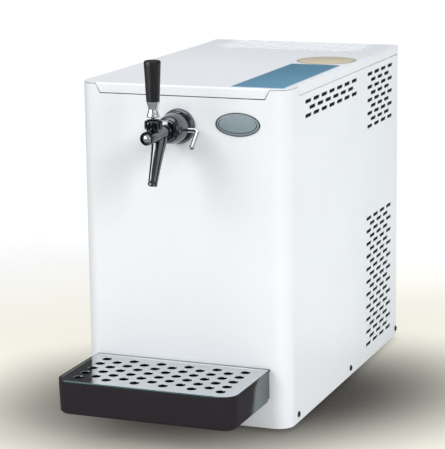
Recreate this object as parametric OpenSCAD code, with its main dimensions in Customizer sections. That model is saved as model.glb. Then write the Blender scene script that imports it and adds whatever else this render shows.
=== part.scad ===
// Countertop draft beer cooler: a white sheet-steel cabinet around an iced water bath, with a
// chrome flow-control tap and a drip tray on its front and a refrigeration unit in its rear bay.
// Millimetres. The origin is on the counter, under the middle of the box around the whole cooler
// with its tray and beer inlet. The front faces -Y and +Z is up.

/* [Cabinet] */
// Width of the cabinet
cab_w = 320; // [316:1:350]
// Depth of the cabinet
cab_d = 550; // [545:1:600]
// Height of the top cover above the counter
cab_h = 500; // [495:1:540]
// Thickness of the sheet steel
sheet = 1.5; // [1:0.1:2]
// Radius of the upright front corners
corner_r = 25; // [18:1:28]
// Height of the rubber feet
foot_h = 6; // [4:0.5:12]
// Radius of the rubber feet
foot_r = 14; // [10:1:18]
// Height of the skirt folded down round the top cover
skirt_h = 14.5; // [12:0.5:18]
// Gap of the seams that show between the panels
seam = 0.8; // [0.4:0.1:0.9]
// Depth of the back panel's side flanges
back_flange = 19; // [14:1:24]
// Height of the base pan's upturned flanges
pan_flange = 28; // [24:1:34]

/* [Vents] */
// Length of a vent slot
slot_l = 28; // [20:1:30]
// Width of a vent slot
slot_w = 5.6; // [4:0.2:6.4]
// Distance between the slots of a row
slot_pitch = 36.6; // [34:0.2:38]
// Distance between the rows of slots
row_pitch = 10.4; // [9:0.2:11]

/* [Fasteners] */
// Radius of the case screws' shanks
screw_r = 2; // [1.5:0.1:2.5]
// Radius of the case screws' heads
screw_head_r = 4.6; // [4:0.1:5.5]

/* [Labels] */
// Half width of the oval badge on the front
badge_a = 33.5; // [28:0.5:38]
// Half height of the oval badge on the front
badge_b = 17; // [14:0.5:20]
// Width of the rectangular plate on the top
plate_w = 80; // [60:1:100]
// Length of the rectangular plate on the top
plate_l = 262; // [200:1:280]
// Radius of the round plate on the top
round_plate_r = 46; // [36:1:50]

/* [Tap] */
// Sideways place of the tap and the drip tray
tap_x = -4; // [-20:1:20]
// Drop from the top cover to the tap's axis
tap_drop = 58; // [54:1:64]
// Radius of the shank that holds the tap
shank_r = 11; // [10:0.5:12]
// Radius of the escutcheon flange
flange_r = 25.5; // [24:0.5:28]
// Radius of the bell behind the tap's body
bell_r = 21.5; // [20.5:0.5:23]
// Radius of the tap's body
body_r = 9.5; // [9:0.1:10.5]
// Distance of the end cap's face from the front panel
tap_reach = 116.5; // [114:0.5:124]
// Lean of the spout out of the upright
spout_lean = 25; // [18:1:28]
// Length of the spout from the tap's axis
spout_l = 76; // [66:1:84]
// Radius of the spout at its tip
spout_tip_r = 6.5; // [6:0.1:8]
// Bore of the spout
spout_bore_r = 4.5; // [3.5:0.1:5]
// Radius of the collar nut
collar_r = 12.6; // [12:0.1:13]
// Height of the handle
handle_l = 57; // [45:1:70]
// Radius of the handle at its top
handle_r = 11.8; // [10:0.1:14]
// Length of the flow lever's leg
flow_leg = 31; // [28:1:44]

/* [Drip tray] */
// Width of the drip tray
tray_w = 272; // [260:1:284]
// Depth of the drip tray in front of the panel
tray_d = 149; // [142:1:158]
// Height of the drip tray
tray_h = 50; // [46:1:56]
// Height of the tray's rim above the counter
tray_z = 95.5; // [90:0.5:110]
// Wall of the drip tray
tray_wall = 3; // [2.5:0.1:3.5]
// Radius of the tray's front corners
tray_r = 20; // [14:1:24]
// Thickness of the drip grille
grille_t = 2; // [1.5:0.1:2.5]
// Radius of the grille's holes
hole_r = 7; // [5:0.1:7.5]

/* [Water bath] */
// Depth of the foam jacket along the cabinet
foam_d = 335; // [325:1:340]
// Wall of the foam jacket
foam_t = 30; // [26:1:32]
// Wall of the bath's liner
liner_t = 2.5; // [2:0.1:3]
// Radius of the evaporator's tube
evap_tube_r = 4.75; // [4:0.1:5]
// Turns of the evaporator coil
evap_turns = 7; // [5:1:7]
// Radius of the beer coil's tube
beer_tube_r = 4; // [3.5:0.1:4.25]
// Turns of the beer coil
beer_turns = 8; // [6:1:9]
// Radius of the agitator motor
stir_motor_r = 35; // [30:1:36]
// Radius of the agitator's shaft
stir_shaft_r = 4; // [3:0.1:5]

/* [Refrigeration] */
// Radius of the compressor's can
can_r = 60; // [54:1:62]
// Height of the compressor's can
can_h = 140; // [120:1:150]
// Thickness of the condenser
cond_t = 32; // [26:1:34]
// Width of the condenser
cond_w = 156; // [150:1:160]
// Height of the condenser
cond_h = 240; // [220:1:250]
// Radius of the fan
fan_r = 68; // [60:1:69]
// Radius of the fan motor
fan_motor_r = 30; // [24:1:34]
// Radius of the fan's shaft
fan_shaft_r = 3; // [2.5:0.1:4]

/* [Rear fittings] */
// Radius of the beer inlet's stub
inlet_r = 4.75; // [4:0.05:6]
// Length of the beer inlet's stub
inlet_l = 37; // [30:1:44]
// Radius of the thermostat's knob
knob_r = 16; // [12:1:20]

/* [Hidden] */
$fn = 64;

// Clearances: faces that seat, shafts that turn, pieces that move past each other
fit = 0.1;
run = 0.05;
clear = 0.5;

// Faces of the cabinet, placed so that the tray in front and the inlet behind balance
half_w = cab_w / 2;
inlet_nut_t = 6;
front_y = (tray_d - inlet_nut_t - inlet_l - cab_d) / 2;
back_y = front_y + cab_d;
wall_x = half_w - sheet;
in_back = back_y - sheet;
floor_z = foot_h + sheet;
skirt_z = cab_h - skirt_h;
corner_top = cab_h - sheet - seam;
panel_top = skirt_z - seam;
wrap_return = corner_r + 5;
skirt_slope = 7;
front_skirt_x = half_w - 34;
side_skirt_y = front_y + 52;
back_seam_y = back_y - back_flange;
foot_in = 35;

// Case screws: how far in from the front and the back, and above the bottom edge
screw_z = foot_h + 12;
screw_front_y = front_y + 42;
screw_back_y = back_y - 6.5;
screw_ys = [screw_front_y, (screw_front_y + screw_back_y) / 2, screw_back_y];
screw_head_h = 2.2;
screw_l = 9;
back_screw_x = half_w - screw_head_r - 1;
back_screw_zs = [foot_h + 16, panel_top - 16];

// Tap: heights are above its axis, and reach is forward of the front panel
tap_z = cab_h - tap_drop;
flange_t = 9;
bell_front = 47;
bell_mouth_r = 15;
chamber_back = 14;
chamber_front = 42;
chamber_r = bell_r - 4.5;
spigot_r = 8;
bore_r = 5.2;
cap_t = 6.5;
body_front = tap_reach - cap_t;
lever_at = 90;
pivot_h = 14;
boss_r = 10;
boss_top = 18;
boss_bore_r = 7.2;
collar_low = 9.6;
collar_top = 22.5;
collar_mouth_r = 8.2;
lever_arm = 11.5;
arm_ball_r = 2.4;
stem_r = 3.2;
pin_r = 1.5;
ferrule_low = 26;
ferrule_l = 22;
ferrule_r = 9.2;
ferrule_waist_r = 5.9;
handle_low = ferrule_low + ferrule_l;
plunger_r = bore_r - 0.4;
spout_at = 66;
spout_root_r = 10;
shank_bore_r = 5.5;
flow_at = 18;
flow_h = -2;
flow_shaft_r = 3.4;
flow_crank = 3;
flow_pin_r = 1.5;
flow_pin_tip = 1.2;
flow_web_x = shank_bore_r + 1.3;
flow_web_t = 3;
flow_elbow_r = 1.5 * flow_shaft_r;
flow_x = 36.5;
flow_rest = 42;
shank_back = 48;
shank_front = 12.5;

// Drip tray and its rail
tray_front = front_y - tray_d;
tray_back = front_y - 5.6;
tray_low = tray_z - tray_h;
tray_taper = 1.5;
rim_w = 7;
rail_half = 60;
rail_t = 1.5;
rail_z = tray_z - 25;
rail_out = 5.2;
rail_lip = 8;
tongue_t = 2.6;
hole_pitch = 43.4;
hole_row_pitch = 12.2;
hole_edge = tray_wall + clear + hole_r;
row_holes = floor((tray_w - 2 * (hole_edge + 10)) / hole_pitch) + 1;
rows = floor((tray_back - tray_front - 2 * (hole_edge + 9)) / hole_row_pitch) + 1;

// Water bath
foam_gap = 8.5;
foam_x = wall_x - foam_gap;
foam_front = front_y + sheet + foam_gap;
foam_back = foam_front + foam_d;
bath_top = tap_z - 27;
bath_low = floor_z + foam_t + 10;
liner_x = foam_x - foam_t;
liner_in_x = liner_x - liner_t;
bath_y = foam_front + foam_d / 2;
liner_floor = bath_low + liner_t;
riser_top = bath_top + 10;
evap_r = liner_in_x - evap_tube_r - 8.5;
evap_pitch = 30;
evap_low = liner_floor + 22;
evap_riser_x = evap_r * 0.79;
beer_r = evap_r - 24;
beer_pitch = 20;
beer_low = liner_floor + beer_tube_r + 0.3;
beer_riser_x = beer_r * 0.56;
bend_r = 10;
loop_rings = 24;
loop_sides = 6;
bridge_t = 3;
bridge_w = 56;
stir_motor_h = 45;
stir_low = liner_floor + 110;

// Rear bay
bay_y = (foam_back + in_back) / 2;
can_x = -(wall_x - can_r - 23.5);
can_y = bay_y - 5;
grommet_h = 12;
grommet_r = 9;
can_plate_t = 3;
can_plate_low = floor_z + grommet_h;
can_low = can_plate_low + can_plate_t;
can_top = can_low + can_h;
can_bolt_r = 4;
can_bolt_dx = can_r + 5;
can_bolt_dy = can_r - 16;
cond_x = wall_x - 8.5 - cond_t;
cond_fins = 26;
fan_z = floor_z + cond_h * 0.54;
shroud_d = 7;
fan_tip = 4;
shroud_rim = 3;
shroud_w = max(cond_w, 2 * (fan_r + fan_tip + shroud_rim));
shroud_x = cond_x - shroud_d;
fan_blade_t = 16;
fan_front = shroud_x - fan_tip;
fan_back = fan_front - fan_blade_t;
fan_motor_front = fan_back - 2;
fan_motor_l = 28;
bracket_t = 3;
bracket_w = 40;
bracket_foot = 20;
fan_motor_back = fan_motor_front - fan_motor_l;
pipe_r = 4;
capillary_r = 1.6;
cond_top = floor_z + cond_h;
liquid_y = bay_y - cond_w / 2 + 12;
discharge_y = bay_y + cond_w / 2 - 30;
cond_mid_x = cond_x + cond_t / 2;
drier_x = evap_riser_x;
drier_r = 10;
drier_low = cond_top + 37;
drier_l = 80;
pipe_z = bath_top + 22;
discharge_z = cond_top + 28;
discharge_x = can_x + can_r * 0.5;

// Rear fittings on the back panel
fittings_z = bath_top - 15;
beer_z = bath_top + 25;
knob_x = 80;
thermostat_w = 40;
thermostat_t = 34;
knob_shaft_r = 3;
switch_x = 25;
switch_w = 22;
switch_h = 30;
rocker_w = 16;
rocker_h = 24;
rocker_tilt = 9;
rocker_pivot = 4;
socket_x = -25;
socket_w = 46;
socket_h = 26;
inlet_x = -beer_riser_x;

// Round and oblong outlines
function arc(c, r, a0, a1, n) =
    [for (i = [0 : n]) c + r * [cos(a0 + (a1 - a0) * i / n), sin(a0 + (a1 - a0) * i / n)]];
function slot_outline(c) = concat(
    arc(c + [(slot_l - slot_w) / 2, 0], slot_w / 2, -90, 90, 6),
    arc(c - [(slot_l - slot_w) / 2, 0], slot_w / 2, 90, 270, 6));
function ellipse(a, b, n) = [for (i = [0 : n - 1]) [a * cos(360 * i / n), b * sin(360 * i / n)]];

// Centres of staggered slots: rows downwards from the first, every other row one slot shorter
function slot_field(first, rows, long) = [for (i = [0 : rows - 1]) for (j = [0 : long - 1 - i % 2])
    first + [slot_l / 2 + (j + (i % 2) / 2) * slot_pitch, -i * row_pitch]];

// A sheet with an outline and a field of slots
module slotted(outline, centres) {
    n = len(outline);
    holes = [for (c = centres) slot_outline(c)];
    m = len(holes[0]);
    polygon(concat(outline, [for (h = holes) each h]),
        concat([[for (i = [0 : n - 1]) i]],
            [for (k = [0 : len(holes) - 1]) [for (i = [0 : m - 1]) n + k * m + i]]));
}

// Lays an outline drawn in Y and Z on a side face, its thickness along +X
module on_side(x) translate([x, 0, 0]) rotate([90, 0, 90]) children();

// Lays an outline drawn in X and Z on an upright plane, its thickness along -Y
module on_front(y) translate([0, y, 0]) rotate([90, 0, 0]) children();

// Tap frame: X stays, Y is the height above the axis, Z is the reach forward of the panel
module on_tap() translate([tap_x, front_y, tap_z]) rotate([90, 0, 0]) children();

// Lever frame on the tap: Z is the height above the tap's axis
module on_lever() on_tap() translate([0, 0, lever_at]) rotate([-90, 0, 0]) children();

// Frame with its Z along +X, or along +Y
module along_x(p) translate(p) rotate([0, 90, 0]) children();
module along_y(p) translate(p) rotate([-90, 0, 0]) children();

// Tube swept along a route of points
function unit(v) = v / norm(v);
function heading(p, i) = unit(p[min(i + 1, len(p) - 1)] - p[max(i - 1, 0)]);
function side_of(t) = unit(cross(t, abs(t[2]) < 0.9 ? [0, 0, 1] : [1, 0, 0]));
function sides_of(p) = [for (i = 0, s = side_of(heading(p, 0)); i < len(p); i = i + 1,
    s = i < len(p) ? unit(s - (s * heading(p, i)) * heading(p, i)) : s) s];
function bend(a, b, c, r, n) = let (u = unit(b - a), v = unit(c - b), turn = acos(u * v),
    side = unit(v - (u * v) * u), start = b - u * r * tan(turn / 2))
    [for (i = [0 : n]) start + r * (sin(turn * i / n) * u + (1 - cos(turn * i / n)) * side)];
function route(p, r, n = 4) = concat([p[0]],
    [for (i = [1 : len(p) - 2]) each bend(p[i - 1], p[i], p[i + 1], r, n)], [p[len(p) - 1]]);
module tube(p, r, sides) {
    s = sides_of(p);
    last = (len(p) - 1) * sides;
    polyhedron(
        [for (i = [0 : len(p) - 1]) for (k = [0 : sides - 1])
            p[i] + r * (cos(360 * k / sides) * s[i]
                + sin(360 * k / sides) * cross(heading(p, i), s[i]))],
        concat([[for (k = [0 : sides - 1]) k]],
            [for (i = [0 : len(p) - 2]) for (k = [0 : sides - 1]) let (a = i * sides + k,
                b = i * sides + (k + 1) % sides) each [[a, a + sides, b + sides], [a, b + sides, b]]],
            [[for (k = [sides - 1 : -1 : 0]) last + k]]));
}

// Wound coil with both ends led up beside it, and the least gap between its own turns
function helix(r, pitch, turns, low, a0) = [for (i = [0 : turns * loop_rings])
    [r * cos(a0 + 360 * i / loop_rings), bath_y + r * sin(a0 + 360 * i / loop_rings),
        low + pitch * i / loop_rings]];
function coil_path(r, pitch, turns, low, face, riser) = let (y = bath_y + face * r,
    high = low + pitch * turns)
    concat(route([[face * riser, y, riser_top], [face * riser, y, low],
            [face * bend_r, y, low]], bend_r),
        helix(r, pitch, turns, low, face * 90),
        route([[-face * bend_r, y, high], [-face * riser, y, high],
            [-face * riser, y, riser_top]], bend_r));
function least_gap(p, r) = min([for (i = [0 : len(p) - 1])
    for (j = [i + loop_rings / 2 : len(p) - 1]) norm(p[i] - p[j])]) - 2 * r;
evap_path = coil_path(evap_r, evap_pitch, evap_turns, evap_low, 1, evap_riser_x);
beer_path = coil_path(beer_r, beer_pitch, beer_turns, beer_low, -1, beer_riser_x);

module feet() color("dimgray")
    for (x = [-1, 1]) for (y = [front_y + foot_in, back_y - foot_in])
        translate([x * (half_w - corner_r - foot_r / 2), y, 0])
            cylinder(r1 = foot_r - 1.5, r2 = foot_r, h = foot_h);

module base_pan() color("lightgray") {
    side_l = in_back - fit - front_y - corner_r;
    difference() {
        union() {
            translate([fit - wall_x, front_y + corner_r, foot_h])
                cube([2 * (wall_x - fit), side_l, sheet]);
            translate([corner_r - half_w, front_y + sheet + fit, foot_h])
                cube([2 * (half_w - corner_r), corner_r - sheet - fit, sheet]);
            for (x = [fit - wall_x, wall_x - fit - sheet])
                translate([x, front_y + corner_r, floor_z]) cube([sheet, side_l, pan_flange]);
            translate([corner_r - half_w, front_y + sheet + fit, floor_z])
                cube([2 * (half_w - corner_r), sheet, pan_flange]);
        }
        for (y = screw_ys)
            along_x([-half_w, y, screw_z]) cylinder(r = screw_r + fit, h = cab_w);
    }
}

// Outline of the opening that the top cover's front skirt fills, with a margin all round
function skirt_outline(margin) = [[-front_skirt_x - margin, skirt_z - margin],
    [front_skirt_x + margin, skirt_z - margin],
    [front_skirt_x + margin + skirt_slope, cab_h - sheet + margin],
    [-front_skirt_x - margin - skirt_slope, cab_h - sheet + margin]];

module front_panel() color("white") difference() {
    tall = corner_top - foot_h;
    union() {
        translate([corner_r - half_w, front_y, foot_h])
            cube([2 * (half_w - corner_r), sheet, tall]);
        for (side = [-1, 1]) {
            translate([side * (half_w - corner_r), front_y + corner_r, foot_h])
                rotate([0, 0, side > 0 ? -90 : 180]) rotate_extrude(angle = 90)
                    translate([corner_r - sheet, 0]) square([sheet, tall]);
            translate([side > 0 ? wall_x : -half_w, front_y + corner_r, foot_h])
                cube([sheet, wrap_return - corner_r, tall]);
        }
    }
    on_front(front_y + 2 * sheet) linear_extrude(3 * sheet) polygon(skirt_outline(seam));
    on_tap() translate([0, 0, -2 * sheet]) cylinder(r = shank_r + fit, h = 3 * sheet);
}

module side_panel() difference() {
    on_side(wall_x) linear_extrude(sheet) slotted(
        [[front_y + wrap_return, foot_h], [back_seam_y - seam / 2, foot_h],
            [back_seam_y - seam / 2, panel_top], [side_skirt_y - seam, panel_top],
            [side_skirt_y - seam - skirt_slope, corner_top],
            [front_y + wrap_return, corner_top]],
        concat(slot_field([front_y + 77, cab_h - 28], 3, 7),
            slot_field([back_y - 171, cab_h - 28], 9, 4),
            slot_field([back_y - 174, foot_h + 26 + 20 * row_pitch], 21, 4)));
    for (y = screw_ys)
        along_x([wall_x - sheet, y, screw_z]) cylinder(r = screw_r + fit, h = 3 * sheet);
}
module left_side_panel() color("white") mirror([1, 0, 0]) side_panel();
module right_side_panel() color("white") side_panel();

module back_panel() color("white") difference() {
    tall = panel_top - foot_h;
    union() {
        translate([-half_w, in_back, foot_h]) cube([cab_w, sheet, tall]);
        for (x = [-half_w, wall_x])
            translate([x, back_seam_y + seam / 2, foot_h])
                cube([sheet, back_flange - seam / 2 - sheet, tall]);
    }
    for (x = [-half_w - sheet, wall_x - sheet])
        along_x([x, screw_back_y, screw_z]) cylinder(r = screw_r + fit, h = 3 * sheet);
    for (x = [-back_screw_x, back_screw_x]) for (z = back_screw_zs)
        along_y([x, in_back - sheet, z]) cylinder(r = screw_r + fit, h = 3 * sheet);
    along_y([knob_x, in_back - sheet, fittings_z]) cylinder(r = knob_shaft_r + clear, h = 3 * sheet);
    along_y([inlet_x, in_back - sheet, beer_z]) cylinder(r = inlet_r + 2 + fit, h = 3 * sheet);
    translate([switch_x - switch_w / 2 - fit, in_back - sheet, fittings_z - switch_h / 2 - fit])
        cube([switch_w + 2 * fit, 3 * sheet, switch_h + 2 * fit]);
    translate([socket_x - socket_w / 2 - fit, in_back - sheet, fittings_z - socket_h / 2 - fit])
        cube([socket_w + 2 * fit, 3 * sheet, socket_h + 2 * fit]);
}

module top_cover() color("white") {
    translate([0, 0, cab_h - sheet]) linear_extrude(sheet) slotted(
        concat(arc([corner_r - half_w, front_y + corner_r], corner_r, 180, 270, 12),
            arc([half_w - corner_r, front_y + corner_r], corner_r, 270, 360, 12),
            [[half_w, back_y], [-half_w, back_y]]),
        slot_field([-slot_l / 2 - 3 * slot_pitch, back_y - 20], 10, 7));
    on_front(front_y + sheet) linear_extrude(sheet) polygon(skirt_outline(0));
    for (x = [-half_w, wall_x])
        on_side(x) linear_extrude(sheet) polygon([[side_skirt_y, skirt_z], [back_y, skirt_z],
            [back_y, cab_h - sheet], [side_skirt_y - skirt_slope, cab_h - sheet]]);
    translate([-wall_x, in_back, skirt_z]) cube([2 * wall_x, sheet, skirt_h - sheet]);
}

label_t = 0.4;
module info_plate() color("steelblue")
    translate([half_w - 9 - plate_w, front_y + 9, cab_h]) cube([plate_w, plate_l, label_t]);

module round_plate() color("tan")
    translate([half_w - 9 - plate_w / 2, front_y + 9 + plate_l + round_plate_r + 4, cab_h])
        cylinder(r = round_plate_r, h = label_t);

badge_x = half_w - 74;
badge_t = 1.6;
module badge() color("silver") on_front(front_y)
    translate([badge_x, tap_z + 6, 0]) linear_extrude(badge_t) polygon(ellipse(badge_a, badge_b, 64));

module screw() {
    translate([0, 0, -screw_l]) cylinder(r = screw_r, h = screw_l);
    cylinder(r1 = screw_head_r, r2 = screw_head_r - 1.2, h = screw_head_h);
}

module case_screws() color("black")
    for (y = screw_ys) {
        along_x([half_w, y, screw_z]) screw();
        mirror([1, 0, 0]) along_x([half_w, y, screw_z]) screw();
    }

module back_screws() color("black")
    for (x = [-back_screw_x, back_screw_x]) for (z = back_screw_zs)
        along_y([x, back_y, z]) screw();

module tap_flange() color("silver") on_tap() difference() {
    rotate_extrude() polygon(concat([[0, 0], [flange_r, 0], [flange_r, 2]],
        arc([bell_r - 1.5, 2], flange_r - bell_r + 1.5, 10, 80, 6),
        [[bell_r - 2, flange_t], [0, flange_t]]));
    translate([0, 0, -1]) cylinder(r = shank_r + fit, h = flange_t + 2);
}

module tap_bell() color("silver") on_tap() difference() {
    rotate_extrude() polygon(concat([[0, flange_t], [bell_r - 1, flange_t], [bell_r, flange_t + 2],
        [bell_r, 22]], [for (i = [1 : 8]) [bell_r - (bell_r - bell_mouth_r) * (1 - cos(90 * i / 8)),
            22 + (bell_front - 24) * sin(90 * i / 8)]],
        [[bell_mouth_r - 3, bell_front], [0, bell_front]]));
    translate([0, 0, flange_t - 1]) cylinder(r = shank_r + fit, h = chamber_back - flange_t + 2);
    translate([0, 0, chamber_back]) cylinder(r = chamber_r, h = 10);
    translate([0, 0, chamber_back + 10])
        cylinder(r1 = chamber_r, r2 = spigot_r, h = chamber_front - chamber_back - 10);
    translate([0, 0, chamber_front - 1]) cylinder(r = spigot_r + fit, h = bell_front);
    translate([0, flow_h, flow_at]) rotate([0, 90, 0]) cylinder(r = flow_shaft_r + run, h = bell_r + 5);
}

module tap_shank() color("silver") on_tap() difference() {
    translate([0, 0, -shank_back]) cylinder(r = shank_r, h = shank_back + shank_front);
    translate([0, 0, -shank_back - 1]) cylinder(r = shank_bore_r, h = shank_back + shank_front + 2);
}

nut_t = 12;
washer_t = 2;
module shank_washer() color("dimgray") on_tap() translate([0, 0, -sheet - washer_t]) difference() {
    cylinder(r = shank_r + 8, h = washer_t);
    translate([0, 0, -1]) cylinder(r = shank_r + fit, h = washer_t + 2);
}

module shank_nut() color("silver") on_tap() translate([0, 0, -sheet - washer_t - nut_t]) difference() {
    cylinder(r = shank_r + 7, h = nut_t, $fn = 6);
    translate([0, 0, -1]) cylinder(r = shank_r + fit, h = nut_t + 2);
}

// The spout's own frame: Z runs from the tap's axis down to the tip
module on_spout() translate([0, 0, spout_at]) rotate([90 - spout_lean, 0, 0]) children();

module tap_body() color("silver") on_tap() difference() {
    union() {
        translate([0, 0, bell_front]) cylinder(r = body_r, h = body_front - bell_front);
        translate([0, 0, chamber_front]) cylinder(r = spigot_r, h = bell_front - chamber_front + 1);
        translate([0, 0, lever_at]) rotate([-90, 0, 0]) cylinder(r = boss_r, h = boss_top);
    }
    translate([0, 0, chamber_front - 1]) cylinder(r = bore_r, h = body_front);
    translate([0, 0, lever_at]) rotate([-90, 0, 0])
        translate([0, 0, 2]) cylinder(r = boss_bore_r, h = boss_top);
    translate([-boss_r - 1, pivot_h, lever_at]) rotate([0, 90, 0])
        cylinder(r = pin_r + fit / 4, h = 2 * boss_r + 2);
    on_spout() cylinder(r = spout_bore_r, h = body_r + 10);
}

module tap_end_cap() color("silver") on_tap() {
    translate([0, 0, body_front]) cylinder(r = body_r, h = cap_t - 1.2);
    translate([0, 0, tap_reach - 1.2]) cylinder(r1 = body_r, r2 = body_r - 1.2, h = 1.2);
    translate([0, 0, body_front - 5]) cylinder(r = bore_r - fit, h = 5);
}

module tap_spout() color("silver") on_tap() difference() {
    on_spout() difference() {
        cylinder(r1 = spout_root_r + 0.5, r2 = spout_tip_r, h = spout_l);
        translate([0, 0, -1]) cylinder(r = spout_bore_r, h = spout_l + 2);
    }
    cylinder(r = body_r + fit, h = tap_reach);
}

module collar_nut() color("dimgray") on_lever() difference() {
    rotate_extrude() polygon([[0, collar_low], [collar_r - 0.6, collar_low], [collar_r, collar_low + 0.8],
        [collar_r, collar_top - 2.2], [collar_r - 0.7, collar_top - 1], [collar_r - 2.2, collar_top],
        [0, collar_top]]);
    translate([0, 0, collar_low - 1]) cylinder(r = boss_r + fit, h = boss_top - collar_low + 1 + fit);
    cylinder(r = collar_mouth_r, h = collar_top + 1);
    on_body_clearance();
}

// Room for the tap's body below the collar nut
module on_body_clearance() rotate([90, 0, 0]) translate([0, 0, -lever_at])
    cylinder(r = body_r + fit, h = 2 * lever_at);

module lever_stem() color("silver") on_lever() difference() {
    union() {
        translate([0, 0, pivot_h]) sphere(r = boss_bore_r - 1.2);
        translate([0, 0, pivot_h]) cylinder(r = stem_r, h = handle_low + 22 - pivot_h);
        translate([0, 0, pivot_h - lever_arm]) cylinder(r = 2, h = lever_arm);
        translate([0, 0, pivot_h - lever_arm]) sphere(r = arm_ball_r);
    }
    translate([-boss_r, 0, pivot_h]) rotate([0, 90, 0]) cylinder(r = pin_r + run, h = 2 * boss_r);
}

module lever_pin() color("silver") on_lever() translate([0.5 - boss_r, 0, pivot_h]) rotate([0, 90, 0])
    cylinder(r = pin_r, h = 2 * boss_r - 1);

module handle_ferrule() color("silver") on_lever() difference() {
    rotate_extrude() polygon(concat([[0, ferrule_low], [ferrule_r - 0.6, ferrule_low]],
        [for (i = [0 : 12]) [ferrule_r - (ferrule_r - ferrule_waist_r) * pow(sin(180 * i / 12), 1.3),
            ferrule_low + 2.5 + (ferrule_l - 3.5) * i / 12]],
        [[ferrule_r, handle_low], [0, handle_low]]));
    translate([0, 0, ferrule_low - 1]) cylinder(r = stem_r + fit / 2, h = ferrule_l + 2);
    translate([0, 0, ferrule_low - 1]) cylinder(r1 = ferrule_r - 1.2, r2 = stem_r, h = 5.5);
}

module tap_handle() color("black") on_lever() difference() {
    rotate_extrude() polygon(concat([[0, handle_low], [ferrule_r + 0.1, handle_low]],
        [[handle_r, handle_low + handle_l - 4]],
        arc([handle_r - 2, handle_low + handle_l - 3.4], 2, 15, 70, 4),
        [[0, handle_low + handle_l]]));
    translate([0, 0, handle_low - 1]) cylinder(r = stem_r + fit / 2, h = 23 + fit);
}

module valve_plunger() color("gainsboro") on_tap() difference() {
    translate([0, 0, 55]) cylinder(r = plunger_r, h = lever_at + 8 - 55);
    translate([-plunger_r, pivot_h - lever_arm - arm_ball_r - 1, lever_at - arm_ball_r - 0.7])
        cube([2 * plunger_r, 2 * plunger_r, 2 * arm_ball_r + 1.4]);
}

module flow_lever() color("silver") on_tap() translate([0, flow_h, flow_at]) {
    along_x([flow_web_x + flow_web_t / 2, 0, 0])
        cylinder(r = flow_shaft_r, h = flow_x - flow_web_x - flow_web_t / 2);
    along_x([flow_pin_tip, flow_crank, 0])
        cylinder(r = flow_pin_r, h = flow_web_x + flow_web_t / 2 - flow_pin_tip);
    along_x([flow_web_x, 0, 0]) cylinder(r = flow_crank + flow_pin_r + 0.3, h = flow_web_t);
    translate([flow_x, 0, 0]) sphere(r = flow_elbow_r);
    translate([flow_x, 0, 0]) rotate([flow_rest, 0, 0]) {
        cylinder(r = flow_shaft_r, h = flow_leg);
        translate([0, 0, flow_leg]) sphere(r = flow_shaft_r + 0.5);
    }
}

module flow_cone() color("gainsboro") on_tap() difference() {
    rod_r = shank_bore_r - 0.6;
    cone_at = flow_at + 8;
    union() {
        translate([0, 0, flow_at - 7]) cylinder(r = rod_r, h = cone_at - flow_at + 8);
        translate([0, 0, cone_at])
            cylinder(r1 = chamber_r - 5, r2 = spigot_r - 4, h = chamber_front - 4 - cone_at);
    }
    translate([0.6, -rod_r, flow_at - flow_pin_r - clear])
        cube([2 * rod_r, 2 * rod_r, 2 * (flow_pin_r + clear)]);
}

// Plan of the tray, drawn in by an inset: round front corners, square at the back
function tray_plan(inset) = concat(
    arc([tap_x - tray_w / 2 + tray_r, tray_front + tray_r], tray_r - inset, 180, 270, 10),
    arc([tap_x + tray_w / 2 - tray_r, tray_front + tray_r], tray_r - inset, 270, 360, 10),
    [[tap_x + tray_w / 2 - inset, tray_back - inset], [tap_x - tray_w / 2 + inset, tray_back - inset]]);

// Tray walls that lean in towards the bottom, with a chamfer below
module tray_outside() intersection() {
    half = tray_w / 2;
    chamfer = 3;
    translate([0, 0, tray_low]) linear_extrude(tray_h) polygon(tray_plan(0));
    on_front(front_y) linear_extrude(tray_d + 1) polygon([
        [tap_x - half + tray_taper + chamfer, tray_low], [tap_x + half - tray_taper - chamfer, tray_low],
        [tap_x + half - tray_taper, tray_low + chamfer], [tap_x + half, tray_z - 8],
        [tap_x + half, tray_z], [tap_x - half, tray_z], [tap_x - half, tray_z - 8],
        [tap_x - half + tray_taper, tray_low + chamfer]]);
    on_side(tap_x - half - 1) linear_extrude(tray_w + 2) polygon([
        [tray_back, tray_low], [tray_back, tray_z], [tray_front, tray_z], [tray_front, tray_z - 8],
        [tray_front + tray_taper, tray_low + chamfer], [tray_front + tray_taper + chamfer, tray_low]]);
}

module drip_tray() color("black") {
    ledge_z = tray_z - grille_t - 0.3;
    difference() {
        tray_outside();
        translate([0, 0, tray_low + tray_wall]) linear_extrude(tray_h) polygon(tray_plan(rim_w + 1));
        translate([0, 0, ledge_z]) linear_extrude(tray_h) polygon(tray_plan(tray_wall));
    }
    translate([tap_x - tray_w / 2, tray_back, tray_z - 4])
        cube([tray_w, front_y - 0.4 - tray_back, 4]);
    for (x = [tap_x - tray_w / 2 + tray_taper, tap_x + tray_w / 2 - tray_taper - tray_wall])
        translate([x, tray_back, tray_low + 6])
            cube([tray_wall, front_y - 0.4 - tray_back, tray_h - 10]);
    translate([tap_x - rail_half, front_y - clear - tongue_t, rail_z + rail_t + 0.3])
        cube([2 * rail_half, tongue_t, tray_z - 4 - rail_z - rail_t - 0.3]);
}

module drip_grille() color("silver") translate([0, 0, tray_z - grille_t]) difference() {
    linear_extrude(grille_t) polygon(tray_plan(tray_wall + clear));
    grille_holes();
}

module grille_holes()
    for (i = [0 : rows - 1]) for (j = [0 : row_holes - 1 - i % 2])
        translate([tap_x + (j - (row_holes - 1 - i % 2) / 2) * hole_pitch,
            (tray_front + tray_back) / 2 + ((rows - 1) / 2 - i) * hole_row_pitch, -1])
            cylinder(r = hole_r, h = grille_t + 2);

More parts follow.
